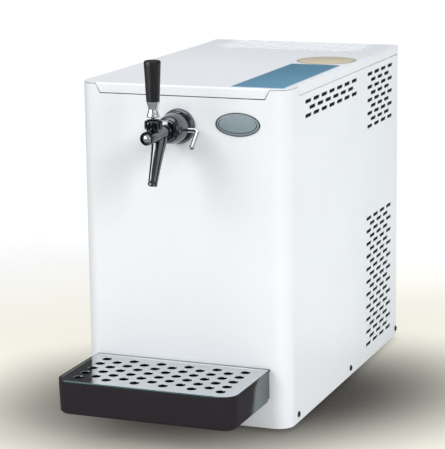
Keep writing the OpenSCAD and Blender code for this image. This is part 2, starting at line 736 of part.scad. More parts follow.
module tray_rail() color("lightgray") {
    translate([tap_x - rail_half - 2, front_y - rail_out, rail_z])
        cube([2 * rail_half + 4, rail_out, rail_t]);
    translate([tap_x - rail_half - 2, front_y - rail_out, rail_z + rail_t])
        cube([2 * rail_half + 4, rail_t, rail_lip]);
    translate([tap_x - rail_half - 2, front_y - rail_t, rail_z - 14])
        cube([2 * rail_half + 4, rail_t, 14]);
}

module tank_foam() color("ivory") difference() {
    translate([-foam_x, foam_front, floor_z]) cube([2 * foam_x, foam_d, bath_top - floor_z]);
    translate([-liner_x, foam_front + foam_t, bath_low])
        cube([2 * liner_x, foam_d - 2 * foam_t, bath_top]);
}

module tank_liner() color("whitesmoke") difference() {
    translate([-liner_x, foam_front + foam_t, bath_low])
        cube([2 * liner_x, foam_d - 2 * foam_t, bath_top - bath_low]);
    translate([-liner_in_x, foam_front + foam_t + liner_t, liner_floor])
        cube([2 * liner_in_x, foam_d - 2 * foam_t - 2 * liner_t, bath_top]);
}

module beer_coil() color("silver") {
    echo("beer coil, least gap between turns", least_gap(beer_path, beer_tube_r));
    tube(beer_path, beer_tube_r, loop_sides);
}

module evaporator_coil() color("peru") {
    echo("evaporator coil, least gap between turns", least_gap(evap_path, evap_tube_r));
    tube(evap_path, evap_tube_r, loop_sides);
}

module stir_bridge() color("lightgray") difference() {
    translate([-foam_x + 5, bath_y - bridge_w / 2, bath_top]) cube([2 * foam_x - 10, bridge_w, bridge_t]);
    translate([0, bath_y, bath_top - 1]) cylinder(r = stir_shaft_r + 2, h = bridge_t + 2);
}

module stir_motor() color("dimgray") translate([0, bath_y, bath_top + bridge_t]) difference() {
    union() {
        cylinder(r = stir_motor_r, h = stir_motor_h - 8);
        translate([0, 0, stir_motor_h - 8]) cylinder(r1 = stir_motor_r, r2 = stir_motor_r - 8, h = 8);
    }
    translate([0, 0, -1]) cylinder(r = stir_shaft_r + run, h = stir_motor_h - 14);
}

module stir_impeller() color("silver") translate([0, bath_y, 0]) {
    translate([0, 0, stir_low]) cylinder(r = stir_shaft_r, h = bath_top + bridge_t + 20 - stir_low);
    translate([0, 0, stir_low]) cylinder(r = stir_shaft_r + 4, h = 14);
    for (i = [0 : 2])
        rotate([0, 0, 120 * i]) translate([stir_shaft_r + 2, 0, stir_low + 7]) rotate([35, 0, 0])
            translate([0, -7, -1]) cube([24, 14, 2]);
}

module on_can_bolts() for (x = [-1, 1]) for (y = [-1, 1])
    translate([can_x + x * can_bolt_dx, can_y + y * can_bolt_dy, 0]) children();

module compressor() color("black") difference() {
    union() {
        translate([can_x, can_y, can_low]) rotate_extrude() polygon(concat([[0, 0]],
            arc([can_r - 22, 22], 22, -90, 0, 6), arc([can_r - 30, can_h - 30], 30, 0, 75, 6),
            [[can_r - 25, can_h], [0, can_h]]));
        translate([can_x - can_bolt_dx - 12, can_y - can_bolt_dy - 10, can_plate_low])
            cube([2 * can_bolt_dx + 24, 2 * can_bolt_dy + 20, can_plate_t]);
    }
    on_can_bolts() translate([0, 0, can_plate_low - 1]) cylinder(r = can_bolt_r + fit, h = can_plate_t + 2);
}

module compressor_grommets() color("dimgray") on_can_bolts() translate([0, 0, floor_z]) difference() {
    cylinder(r = grommet_r, h = grommet_h);
    translate([0, 0, -1]) cylinder(r = can_bolt_r + fit, h = grommet_h + 2);
}

module compressor_bolts() color("silver") on_can_bolts() {
    translate([0, 0, floor_z]) cylinder(r = can_bolt_r, h = can_low - floor_z);
    translate([0, 0, can_low]) cylinder(r = can_bolt_r + 3, h = 5, $fn = 6);
}

module terminal_box() color("dimgray")
    translate([can_x - 20, can_y + can_r + fit, can_low + can_h * 0.4]) cube([40, 20, 45]);

module condenser() color("lightslategray") {
    fin_pitch = (cond_w - 4) / cond_fins;
    difference() {
        translate([cond_x, bay_y - cond_w / 2, floor_z]) cube([cond_t, cond_w, cond_h]);
        for (i = [0 : cond_fins - 1]) for (x = [cond_x - 1, cond_x + cond_t - 9])
            translate([x, bay_y - cond_w / 2 + 2 + i * fin_pitch + 1, floor_z + 15])
                cube([10, fin_pitch - 1, cond_h - 20]);
    }
}

module fan_shroud() color("dimgray") difference() {
    translate([shroud_x, bay_y - shroud_w / 2, floor_z + 12]) cube([shroud_d, shroud_w, cond_h - 14]);
    along_x([shroud_x - 1, bay_y, fan_z]) cylinder(r = fan_r + fan_tip, h = shroud_d + 2);
}

module fan_bracket() color("lightgray") {
    translate([fan_motor_back - bracket_t, bay_y - bracket_w / 2, floor_z])
        cube([bracket_t, bracket_w, fan_z + fan_motor_r - floor_z]);
    translate([fan_motor_back - bracket_t - bracket_foot, bay_y - bracket_w / 2, floor_z])
        cube([bracket_foot, bracket_w, bracket_t]);
}

module fan_motor() color("black") difference() {
    along_x([fan_motor_back, bay_y, fan_z]) cylinder(r = fan_motor_r, h = fan_motor_l);
    along_x([fan_motor_back + 8, bay_y, fan_z]) cylinder(r = fan_shaft_r + run, h = fan_motor_l);
}

module fan_blade() color("silver") along_x([0, bay_y, fan_z]) {
    translate([0, 0, fan_motor_back + 9]) cylinder(r = fan_shaft_r, h = fan_front - fan_motor_back - 9);
    translate([0, 0, fan_back]) cylinder(r = 18, h = fan_blade_t);
    for (i = [0 : 4])
        rotate([0, 0, 72 * i]) translate([15, 0, fan_back + fan_blade_t / 2]) rotate([28, 0, 0])
            translate([0, -13, -0.75]) cube([fan_r - 16, 26, 1.5]);
}

module filter_drier() color("peru") translate([drier_x, liquid_y, drier_low]) rotate_extrude()
    polygon([[0, 0], [pipe_r, 0], [drier_r, 12], [drier_r, drier_l - 12], [capillary_r + 2, drier_l],
        [0, drier_l]]);

module discharge_pipe() color("peru") tube(route([
    [discharge_x, can_y, can_top + fit], [discharge_x, can_y, discharge_z],
    [cond_mid_x, discharge_y, discharge_z], [cond_mid_x, discharge_y, cond_top + fit]], bend_r),
    pipe_r, 8);

module liquid_pipe() color("peru") tube(route([
    [cond_mid_x, liquid_y, cond_top + fit], [cond_mid_x, liquid_y, cond_top + 16],
    [drier_x, liquid_y, cond_top + 16], [drier_x, liquid_y, drier_low - fit]], bend_r), pipe_r, 8);

module capillary_pipe() color("peru") tube(route([
    [drier_x, liquid_y, drier_low + drier_l + fit], [drier_x, liquid_y, pipe_z],
    [drier_x, bath_y + evap_r, pipe_z], [drier_x, bath_y + evap_r, riser_top + fit]], bend_r),
    capillary_r, 8);

suction_y = can_y - can_r - 12;
module suction_pipe() color("peru") tube(route([
    [-evap_riser_x, bath_y + evap_r, riser_top + fit], [-evap_riser_x, bath_y + evap_r, pipe_z],
    [-evap_riser_x, suction_y, pipe_z], [-evap_riser_x, suction_y, can_low + can_h * 0.6],
    [-evap_riser_x, can_y - can_r, can_low + can_h * 0.6]], bend_r), pipe_r, 8);

module thermostat() color("dimgray") difference() {
    translate([knob_x - thermostat_w / 2, in_back - thermostat_t, fittings_z - thermostat_w / 2])
        cube([thermostat_w, thermostat_t, thermostat_w]);
    along_y([knob_x, in_back - 15, fittings_z]) cylinder(r = knob_shaft_r + run, h = 20);
}

module thermostat_knob() color("black") along_y([knob_x, 0, fittings_z]) {
    translate([0, 0, in_back - 12]) cylinder(r = knob_shaft_r, h = sheet + 14);
    difference() {
        translate([0, 0, back_y + clear]) cylinder(r1 = knob_r, r2 = knob_r - 2, h = 14);
        translate([-1, -knob_r - 2, back_y + clear + 12]) cube([2, knob_r, 4]);
    }
}

module switch_housing() color("black") difference() {
    union() {
        translate([switch_x - switch_w / 2, in_back - 20, fittings_z - switch_h / 2])
            cube([switch_w, 20 + sheet, switch_h]);
        translate([switch_x - switch_w / 2 - 2, back_y, fittings_z - switch_h / 2 - 2])
            cube([switch_w + 4, 2, switch_h + 4]);
    }
    translate([switch_x - rocker_w / 2 - clear, back_y - 14, fittings_z - rocker_h / 2 - clear])
        cube([rocker_w + 2 * clear, 20, rocker_h + 2 * clear]);
    along_x([switch_x - switch_w / 2 + 0.8, back_y - rocker_pivot, fittings_z])
        cylinder(r = 1.5 + run, h = switch_w - 1.6);
}

module switch_rocker() color("crimson") {
    translate([0, back_y - rocker_pivot, fittings_z]) rotate([rocker_tilt, 0, 0])
        on_side(switch_x - rocker_w / 2) linear_extrude(rocker_w)
            polygon([[-5, -5], [-5, 5], [4, rocker_h / 2 - 1], [6, rocker_h / 2 - 1.2], [4.5, 0],
                [6, 1.2 - rocker_h / 2], [4, 1 - rocker_h / 2]]);
    along_x([switch_x - switch_w / 2 + 1.2, back_y - rocker_pivot, fittings_z])
        cylinder(r = 1.5, h = switch_w - 2.4);
}

module power_inlet() color("black") {
    difference() {
        union() {
            translate([socket_x - socket_w / 2, in_back - 24, fittings_z - socket_h / 2])
                cube([socket_w, 24 + sheet, socket_h]);
            translate([socket_x - socket_w / 2 - 4, back_y, fittings_z - socket_h / 2 - 3])
                cube([socket_w + 8, 3, socket_h + 6]);
        }
        translate([socket_x - 12.5, back_y - 14, fittings_z - 8.5]) cube([25, 20, 17]);
    }
    for (p = [[-7, -2], [0, 3], [7, -2]])
        translate([socket_x + p[0] - 1, back_y - 15, fittings_z + p[1] - 2]) cube([2, 12, 4]);
}

module beer_inlet() color("silver") along_y([inlet_x, 0, beer_z]) difference() {
    union() {
        translate([0, 0, in_back - 10]) cylinder(r = inlet_r + 2, h = sheet + 10);
        for (y = [in_back - inlet_nut_t, back_y])
            translate([0, 0, y]) cylinder(r = inlet_r + 6, h = inlet_nut_t, $fn = 6);
        translate([0, 0, back_y + inlet_nut_t]) cylinder(r = inlet_r, h = inlet_l);
    }
    translate([0, 0, in_back - 11]) cylinder(r = inlet_r - 1.75, h = inlet_l + 30);
}

module beer_line_in() color("whitesmoke") tube(route([
    [inlet_x, in_back - 10 - fit, beer_z], [inlet_x, bath_y - beer_r, beer_z],
    [inlet_x, bath_y - beer_r, riser_top + fit]], bend_r), beer_tube_r, 8);

module beer_line_out() color("whitesmoke") tube(route([
    [beer_riser_x, bath_y - beer_r, riser_top + fit], [beer_riser_x, bath_y - beer_r, tap_z],
    [tap_x, bath_y - beer_r, tap_z], [tap_x, front_y + shank_back + fit, tap_z]], bend_r),
    beer_tube_r, 8);

feet();
base_pan();
front_panel();
left_side_panel();
right_side_panel();
back_panel();
top_cover();
info_plate();
round_plate();
badge();
case_screws();
back_screws();
tap_flange();
tap_bell();
tap_shank();
shank_washer();
shank_nut();
tap_body();
tap_end_cap();
tap_spout();
collar_nut();
lever_stem();
lever_pin();
handle_ferrule();
tap_handle();
valve_plunger();
flow_lever();
flow_cone();
drip_tray();
drip_grille();
tray_rail();
tank_foam();
tank_liner();
beer_coil();
evaporator_coil();
stir_bridge();
stir_motor();
stir_impeller();
compressor();
compressor_grommets();
compressor_bolts();
terminal_box();
condenser();
fan_shroud();
fan_bracket();
fan_motor();
fan_blade();
filter_drier();
discharge_pipe();
liquid_pipe();
capillary_pipe();
suction_pipe();
thermostat();
thermostat_knob();
switch_housing();
switch_rocker();
power_inlet();
beer_inlet();
beer_line_in();
beer_line_out();
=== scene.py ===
# %% [markdown]
# # A countertop draft beer cooler
# The CAD model gives every size and every joint of this cooler. This lesson dresses it: folded
# white sheet steel, a chrome tap, a glossy drip tray, and the bath and the cooling unit inside.
# Each piece is built in place, in metres, and then told which CAD body it moves with.

# %% Load the CAD model as a fixed frame
import math

import bmesh
import bpy
from mathutils import Matrix, Vector


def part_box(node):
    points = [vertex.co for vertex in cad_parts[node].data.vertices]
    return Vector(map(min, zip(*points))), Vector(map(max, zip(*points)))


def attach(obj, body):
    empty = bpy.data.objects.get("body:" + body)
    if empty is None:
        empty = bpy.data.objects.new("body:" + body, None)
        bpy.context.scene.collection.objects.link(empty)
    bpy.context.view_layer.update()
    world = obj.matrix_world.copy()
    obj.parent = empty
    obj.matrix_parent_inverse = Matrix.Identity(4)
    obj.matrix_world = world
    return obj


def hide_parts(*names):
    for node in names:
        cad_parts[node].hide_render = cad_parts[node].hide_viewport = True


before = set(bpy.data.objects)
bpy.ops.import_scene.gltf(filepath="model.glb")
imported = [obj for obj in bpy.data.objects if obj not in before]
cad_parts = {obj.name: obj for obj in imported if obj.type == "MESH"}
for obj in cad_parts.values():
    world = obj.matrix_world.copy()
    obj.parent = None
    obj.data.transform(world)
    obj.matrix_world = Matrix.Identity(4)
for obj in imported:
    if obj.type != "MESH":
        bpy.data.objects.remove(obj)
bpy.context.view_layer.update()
MM = 0.001
LOW = {node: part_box(node)[0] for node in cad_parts}
HIGH = {node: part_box(node)[1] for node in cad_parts}
MIDDLE = {node: (LOW[node] + HIGH[node]) / 2 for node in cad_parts}

# %% [markdown]
# The cabinet's faces set the scale for everything else, so they are read from the CAD boxes once.
# A sheet-metal part is best described by its outer faces, its sheet and its bend radius.

# %% Faces of the cabinet
HALF_W = HIGH["front_panel"].x
FRONT = LOW["front_panel"].y
BACK = HIGH["back_panel"].y
TOP = HIGH["top_cover"].z
SKIRT_LOW = LOW["top_cover"].z
PANEL_LOW = LOW["front_panel"].z
PANEL_TOP = HIGH["back_panel"].z
CORNER_TOP = HIGH["front_panel"].z
SIDE_END = HIGH["right_side_panel"].y
BACK_SEAM = LOW["back_panel"].y
SHEET = HIGH["right_side_panel"].x - LOW["right_side_panel"].x
CORNER_R = 25 * MM
SEAM = SKIRT_LOW - PANEL_TOP
print("cabinet, mm:", [round(size / MM, 1) for size in (2 * HALF_W, BACK - FRONT, TOP)])

# %% [markdown]
# The camera is worked out as a photographer would describe it: which way it looks, how far off it
# stands and how long its lens is. A long lens far away keeps the box's edges almost parallel.

# %% Place the camera
PHOTO_W, PHOTO_H = 445, 449
FOCAL_PX = 1901.6
AZIMUTH, ELEVATION, ROLL = map(math.radians, (21.453, 12.149, -0.737))
DISTANCE = 2994 * MM
AIM = Vector((0, (FRONT + BACK) / 2, TOP / 2))
AIM_RIGHT, AIM_UP = 43.8 * MM, 7.3 * MM


def into_scene(name, content):
    """A new object that holds a lens, a lamp or a mesh."""
    made = bpy.data.objects.new(name, content)
    bpy.context.scene.collection.objects.link(made)
    return made


back = Vector((math.sin(AZIMUTH) * math.cos(ELEVATION), -math.cos(AZIMUTH) * math.cos(ELEVATION),
               math.sin(ELEVATION)))
level_right = Vector((0, 0, 1)).cross(back).normalized()
level_up = back.cross(level_right)
right = level_right * math.cos(ROLL) + level_up * math.sin(ROLL)
up = level_up * math.cos(ROLL) - level_right * math.sin(ROLL)
lens = bpy.data.cameras.new("camera")
lens.sensor_width = 36
lens.lens = lens.sensor_width * FOCAL_PX / max(PHOTO_W, PHOTO_H)
camera = into_scene("camera", lens)
stand = AIM + back * DISTANCE - right * AIM_RIGHT - up * AIM_UP
camera.matrix_world = Matrix.Translation(stand) @ Matrix((right, up, back)).transposed().to_4x4()
bpy.context.scene.camera = camera
bpy.context.scene.view_settings.view_transform = "Standard"
print("camera at", [round(value, 3) for value in stand], "lens", round(lens.lens, 1), "mm")

# %% [markdown]
# Shader maths reads best as arithmetic. This class wraps one socket of a material, so that
# `0.2 + 0.1 * grain` adds the Math nodes by itself. Every other node comes from `node`, which
# takes the node's type, its settings and its inputs by name or, where names repeat, by number.

# %% Materials as expressions
class Tone:
    """One socket of a material's node tree that takes part in Python arithmetic."""

    def __init__(self, tree, socket):
        self.tree = tree
        self.socket = socket

    def node(self, kind, settings=None, output=0, **inputs):
        made = self.tree.nodes.new(kind)
        for key, value in (settings or {}).items():
            setattr(made, key, value)
        feed(self.tree, made, inputs)
        return Tone(self.tree, made.outputs[output])

    def math(self, operation, first, second):
        return self.node("ShaderNodeMath", {"operation": operation}, at_0=first, at_1=second)

    def __add__(self, other):
        return self.math("ADD", self, other)

    def __sub__(self, other):
        return self.math("SUBTRACT", self, other)

    def __rsub__(self, other):
        return self.math("SUBTRACT", other, self)

    def __mul__(self, other):
        return self.math("MULTIPLY", self, other)

    def __truediv__(self, other):
        return self.math("DIVIDE", self, other)

    def __rtruediv__(self, other):
        return self.math("DIVIDE", other, self)

    def __pow__(self, power):
        return self.math("POWER", self, power)

    __radd__ = __add__
    __rmul__ = __mul__

    def above(self, low, high):
        """0 below low, 1 above high, and a soft step between them."""
        return self.node("ShaderNodeMapRange", {"interpolation_type": "SMOOTHSTEP"}, Value=self,
                         From_Min=low, From_Max=high)

    def band(self, start, end):
        """1 between two soft steps, each given by where it begins and where it is done."""
        return self.above(*start) * (1 - self.above(*end))

    def sine(self):
        return self.node("ShaderNodeMath", {"operation": "SINE"}, at_0=self)

    def mix(self, first, second):
        """A colour that goes from first to second as this value goes from 0 to 1."""
        return self.node("ShaderNodeMix", {"data_type": "RGBA"}, 2, at_0=self, at_6=first, at_7=second)

    def stretch(self, x, y, z):
        return self.node("ShaderNodeVectorMath", {"operation": "MULTIPLY"}, at_0=self, at_1=(x, y, z))

    def noise(self, scale, detail=2.0):
        return self.node("ShaderNodeTexNoise", None, 0, Vector=self, Scale=scale, Detail=detail)

    def bump(self, depth):
        return self.node("ShaderNodeBump", None, 0, Height=self, Distance=depth, Strength=1.0)

    def axes(self):
        apart = self.tree.nodes.new("ShaderNodeSeparateXYZ")
        self.tree.links.new(self.socket, apart.inputs[0])
        return [Tone(self.tree, axis) for axis in apart.outputs]


def feed(tree, made, inputs):
    """Sets a node's inputs: at_3 is input number 3, and Base_Color is the input Base Color."""
    for key, value in inputs.items():
        number = key.removeprefix("at_")
        socket = made.inputs[int(number) if number.isdigit() else key.replace("_", " ")]
        if isinstance(value, Tone):
            tree.links.new(value.socket, socket)
        else:
            socket.default_value = value


def start_finish(name):
    """A new material, and the place on the object that its patterns are laid out by."""
    material = bpy.data.materials.new(name)
    material.use_nodes = True
    tree = material.node_tree
    return material, Tone(tree, tree.nodes.new("ShaderNodeTexCoord").outputs["Object"])


def dress(material, **inputs):
    feed(material.node_tree, material.node_tree.nodes["Principled BSDF"], inputs)
    return material


def rgb(red, green, blue):
    """A colour as the screen shows it, from 0 to 255, turned into light."""
    return tuple(((c / 255 + 0.055) / 1.055) ** 2.4 for c in (red, green, blue)) + (1.0,)


def hollow(where, reach):
    """A mask for painted shade: near 1 in corners and under edges that lie within reach, and 0 in the open.
    """
    settings = {"samples": 4, "only_local": True}
    return 1 - where.node("ShaderNodeAmbientOcclusion", settings, 1, Distance=reach)


print("shader helpers ready")

# %% [markdown]
# Baked enamel isn't a flat white. Its skin has a fine orange peel about a millimetre across, its
# gloss drifts a little from spot to spot, and handling leaves it duller near the floor. It is also
# painted slightly greyer towards the rear, as painted shade where the light falls off. Three layers
# of noise at three scales give the highlights something to break on, where one flat colour would
# look like paper.

# %% White enamel
def make_white_enamel():
    material, where = start_finish("white_enamel")
    peel = where.noise(750, 2)
    drift = where.noise(7, 3)
    specks = where.noise(240, 5).above(0.66, 0.80)
    _, along, height = where.axes()
    dull = 1 - height.above(0.0, 0.16)
    # The last term is painted shade: the enamel is drawn greyer towards the rear, where the light falls off.
    shade = 0.45 * drift + 0.25 * dull + 0.35 * specks + 0.65 * along.above(-0.05, 0.30)
    return dress(material, Base_Color=shade.mix(rgb(245, 248, 250), rgb(230, 233, 236)),
                 Roughness=0.28 + 0.10 * drift + 0.10 * dull, Normal=peel.bump(0.012 * MM),
                 Specular_IOR_Level=0.22, Coat_Weight=0.04, Coat_Roughness=0.12)


white_enamel = make_white_enamel()
print("enamel:", len(white_enamel.node_tree.nodes), "nodes")

# %% [markdown]
# Bright metals differ mainly in how their surface was finished. Chrome is smooth with a few fine
# wipe marks, polished stainless keeps faint brush lines along the sheet, and zinc shows crystals.
# One function covers them, with the brush direction as a stretch of the noise.

# %% Metals
def make_metal(name, colour, tarnish_and_shade_colour, rough, marks, brush=(1, 1, 1), line=0.0, tarnish=0.25, metal=1.0):
    """Marks and line say how much wipe marks and brush lines roughen it, tarnish how far it clouds."""
    material, where = start_finish(name)
    lines = where.stretch(*brush).noise(1500, 3)
    cloud = where.noise(24, 4)
    wipes = where.stretch(1, 0.18, 1).noise(420, 6).above(0.56, 0.78)
    # The tarnish clouds are real, and the corner term is painted shade.
    tarnish_and_corner_shade = tarnish * cloud + 0.6 * hollow(where, 4 * MM)
    return dress(material, Base_Color=tarnish_and_corner_shade.mix(colour, tarnish_and_shade_colour), Metallic=metal,
                 Roughness=rough + marks * (0.5 * cloud + 0.5 * wipes) + line * lines,
                 Normal=(lines + 0.4 * wipes).bump(0.004 * MM + 0.02 * MM * line))


# Chrome comes in copies that are only lighter or darker: the painted-light one is for the ferrule and the
# cap's face, and the two painted-shade ones are for the rest of the tap and the badge's rim and line.
chrome = make_metal("chrome", rgb(222, 226, 230), rgb(176, 182, 188), 0.035, 0.10)
chrome_painted_light = make_metal("chrome_painted_light", rgb(232, 236, 238), rgb(150, 156, 162), 0.05, 0.10, metal=0.75)
chrome_painted_shade = make_metal("chrome_painted_shade", rgb(118, 122, 127), rgb(58, 61, 65), 0.05, 0.12)
chrome_painted_deep_shade = make_metal("chrome_painted_deep_shade", rgb(80, 82, 86), rgb(44, 45, 48), 0.08, 0.16)
grille_steel = make_metal("grille_steel", rgb(206, 211, 214), rgb(164, 171, 175), 0.06, 0.12,
                          brush=(0.05, 1, 1), line=0.05)
stainless = make_metal("stainless", rgb(196, 199, 202), rgb(150, 152, 155), 0.16, 0.16,
                       brush=(1, 1, 0.06), line=0.10)
zinc = make_metal("zinc", rgb(188, 191, 194), rgb(138, 141, 145), 0.30, 0.22, line=0.05, tarnish=0.7)
copper = make_metal("copper", rgb(214, 140, 98), rgb(128, 74, 52), 0.20, 0.22,
                    brush=(1, 1, 0.1), line=0.06, tarnish=0.6)
fin_metal = make_metal("fin_metal", rgb(122, 126, 131), rgb(66, 69, 73), 0.34, 0.20,
                       brush=(1, 1, 0.05), line=0.08, tarnish=0.6)
print("metals: 9 finishes")

# %% [markdown]
# Moulded plastics and rubber share one recipe: a dark or pale colour, a fine moulded grain in the
# bump, a little dust in clouds and scuffs, and painted shade in the corners. The gloss and the grain
# tell them apart.

# %% Plastics, rubber and paint
def make_plastic(name, colour, dust_and_shade_colour, rough, grain, depth, dust=0.35, coat=0.0,
                 shine=(1, 1, 1, 1), level=0.5):
    """Grain is how fine the moulded pores are, and depth how deep, in millimetres."""
    material, where = start_finish(name)
    pores = where.noise(grain, 3)
    cloud = where.noise(18, 4)
    scuffs = where.stretch(1, 1, 0.15).noise(260, 6).above(0.58, 0.80)
    # Dust lies in clouds and scuffs, and the corner term is painted shade.
    dust_and_corner_shade = dust * (0.5 * cloud + 0.5 * scuffs) + 0.4 * hollow(where, 5 * MM)
    return dress(material, Base_Color=dust_and_corner_shade.mix(colour, dust_and_shade_colour),
                 Roughness=rough + 0.10 * cloud + 0.14 * scuffs, Normal=pores.bump(depth * MM),
                 Coat_Weight=coat, Coat_Roughness=0.06, Specular_IOR_Level=level, Specular_Tint=shine)


tray_black = make_plastic("tray_black", rgb(44, 31, 36), rgb(54, 44, 47), 0.05, 900, 0.002, dust=0.3,
                          shine=(0.38, 1.0, 0.96, 1), level=1.0)
handle_black = make_plastic("handle_black", rgb(30, 29, 31), rgb(52, 50, 53), 0.30, 1400, 0.05, dust=0.5)
housing_black = make_plastic("housing_black", rgb(34, 34, 36), rgb(62, 62, 64), 0.42, 1600, 0.04)
rubber = make_plastic("rubber", rgb(32, 32, 33), rgb(74, 72, 70), 0.66, 1200, 0.05, dust=0.7)
screw_black = make_plastic("screw_black", rgb(26, 26, 28), rgb(60, 58, 56), 0.34, 1800, 0.02)
can_black = make_plastic("can_black", rgb(22, 22, 24), rgb(48, 47, 47), 0.26, 700, 0.02, dust=0.6, coat=0.2)
liner_white = make_plastic("liner_white", rgb(226, 226, 220), rgb(196, 196, 188), 0.34, 700, 0.02)
line_tube = make_plastic("line_tube", rgb(214, 219, 222), rgb(180, 184, 186), 0.24, 500, 0.01)
rocker_red = make_plastic("rocker_red", rgb(176, 26, 26), rgb(120, 20, 20), 0.20, 1500, 0.01)
badge_silver = make_plastic("badge_silver", rgb(141, 157, 162), rgb(120, 136, 143), 0.30, 2200, 0.02,
                            dust=0.8)
mark_white = make_plastic("mark_white", rgb(232, 232, 228), rgb(206, 206, 200), 0.40, 1500, 0.01)
print("plastics: 11 finishes")

# %% [markdown]
# Rigid foam is poured, so its skin is dull and blotchy, with burst bubbles. Cells from a Voronoi
# texture make the bubbles, and a slow noise gives the yellowed patches.

# %% Insulation foam
def make_foam():
    material, where = start_finish("foam")
    bubbles = where.node("ShaderNodeTexVoronoi", None, 0, Vector=where, Scale=260)
    blotch = where.noise(9, 5)
    burst = 1 - bubbles.above(0.10, 0.34)
    yellowed = (0.7 * blotch + 0.4 * burst).mix(rgb(232, 218, 172), rgb(190, 162, 104))
    return dress(material, Base_Color=yellowed, Roughness=0.86 - 0.1 * burst, Normal=bubbles.bump(0.5 * MM))


foam = make_foam()
print("foam:", len(foam.node_tree.nodes), "nodes")

# %% [markdown]
# A few ways of making a shape cover nearly everything here: skinning a stack of rings, turning a
# profile on a lathe, sweeping a round bar along a bent path, and easing the edges of a block. Each
# returns a bmesh, so that parts can be joined before they become one piece. Profiles are drawn in
# millimetres, as on a workshop drawing, and mm turns them into metres.

# %% Shapes from rings
def mm(*points):
    """Points given in millimetres, turned into the scene's metres."""
    return [tuple(value * MM for value in point) for point in points]


def around(steps):
    """Evenly spaced angles, once round."""
    return [math.tau * k / steps for k in range(steps)]


def skin(rings, loop=False):
    """Faces between rings of points. A ring of one point closes an end, and so does a flat cap."""
    bm = bmesh.new()
    rows = [[bm.verts.new(point) for point in ring] for ring in rings]
    for low, high in zip(rows, rows[1:] + rows[:1] if loop else rows[1:]):
        count = max(len(low), len(high))
        for i in range(count):
            j = (i + 1) % count
            corners = [low[i % len(low)], low[j % len(low)], high[j % len(high)], high[i % len(high)]]
            corners = list(dict.fromkeys(corners))
            if len(corners) > 2:
                bm.faces.new(corners)
    for ring in [] if loop else [rows[0], rows[-1]]:
        if len(ring) > 2:
            bm.faces.new(ring)
    bmesh.ops.recalc_face_normals(bm, faces=bm.faces)
    return bm


def lathe(profile, loop=False, steps=72, lobes=None):
    """Turns (radius, height) points about Z. Lobes change the radius by the angle and the height."""
    rings = []
    for radius, height in profile:
        if radius < 1e-7:
            rings.append([(0, 0, height)])
            continue
        ring = []
        for angle in around(steps):
            reach = radius + (lobes(angle, height) if lobes else 0)
            ring.append((reach * math.cos(angle), reach * math.sin(angle), height))
        rings.append(ring)
    return skin(rings, loop)


def bend(points, radius, steps=6, closed=False):
    """Rounds the corners of a path by a radius, or by the largest one that fits."""
    points = [Vector(point) for point in points]
    path = []
    for i, here in enumerate(points):
        before, after = points[i - 1], points[(i + 1) % len(points)]
        into, out = (here - before).normalized(), (after - here).normalized()
        turn = into.angle(out, 0)
        if turn < 0.02 or (not closed and i in (0, len(points) - 1)):
            path.append(here)
            continue
        room = 0.49 * min((here - before).length, (after - here).length)
        arc = min(radius, room / math.tan(turn / 2))
        first = here - into * arc * math.tan(turn / 2)
        side = (out - into * into.dot(out)).normalized()
        for k in range(steps + 1):
            angle = turn * k / steps
            path.append(first + arc * (math.sin(angle) * into + (1 - math.cos(angle)) * side))
    return path


def sweep(path, radius, sides=16):
    """A round bar or pipe along a path. The radius may be one number or one for each point."""
    path = [Vector(point) for point in path]
    radii = radius if isinstance(radius, list) else [radius] * len(path)
    side, rings = None, []
    for i, here in enumerate(path):
        ahead = (path[min(i + 1, len(path) - 1)] - path[max(i - 1, 0)]).normalized()
        if side is None:
            side = ahead.orthogonal()
        side = (side - ahead * side.dot(ahead)).normalized()
        over = ahead.cross(side)
        rings.append([here + radii[i] * (math.cos(angle) * side + math.sin(angle) * over)
                      for angle in around(sides)])
    return skin(rings)


def block(low, high, edge=0.4 * MM, segments=2):
    """A box between two corners with eased edges."""
    low, high = Vector(low), Vector(high)
    bm = bmesh.new()
    stretched = Matrix.Diagonal((high - low).to_4d())
    bmesh.ops.create_cube(bm, size=1, matrix=Matrix.Translation((low + high) / 2) @ stretched)
    bmesh.ops.bevel(bm, geom=bm.edges, offset=edge, segments=segments, affect="EDGES", profile=0.5)
    return bm


print("shape helpers ready")

# %% [markdown]
# Sheet-metal parts are cut flat first and folded afterwards, here as in the factory. The blank is
# a filled curve with its holes, which Blender thickens and eases along every cut edge. A fold then
# rolls everything beyond a line around an arc, so cut-outs near a bend follow it truly.

# %% Cut sheet and folds
def cut_sheet(outline, holes, thickness, edge=0.25 * MM):
    """A blank in the XY plane with its outer face at z 0 and its thickness below."""
    curve = bpy.data.curves.new("blank", "CURVE")
    curve.dimensions = "2D"
    curve.fill_mode = "BOTH"
    curve.extrude = thickness / 2 - edge
    curve.bevel_depth = edge
    curve.bevel_resolution = 1
    curve.offset = -edge
    for loop in [outline, *holes]:
        line = curve.splines.new("POLY")
        line.points.add(len(loop) - 1)
        for point, (x, y) in zip(line.points, loop):
            point.co = (x, y, 0, 1)
        line.use_cyclic_u = True
    blank = bpy.data.objects.new("blank", curve)
    mesh = bpy.data.meshes.new_from_object(blank)
    bm = bmesh.new()
    bm.from_mesh(mesh)
    bmesh.ops.remove_doubles(bm, verts=bm.verts, dist=1e-6)
    bmesh.ops.translate(bm, verts=bm.verts, vec=(0, 0, -thickness / 2))
    bpy.data.objects.remove(blank)
    bpy.data.curves.remove(curve)
    bpy.data.meshes.remove(mesh)
    return bm


BEND_MARGIN = 0.3 * MM


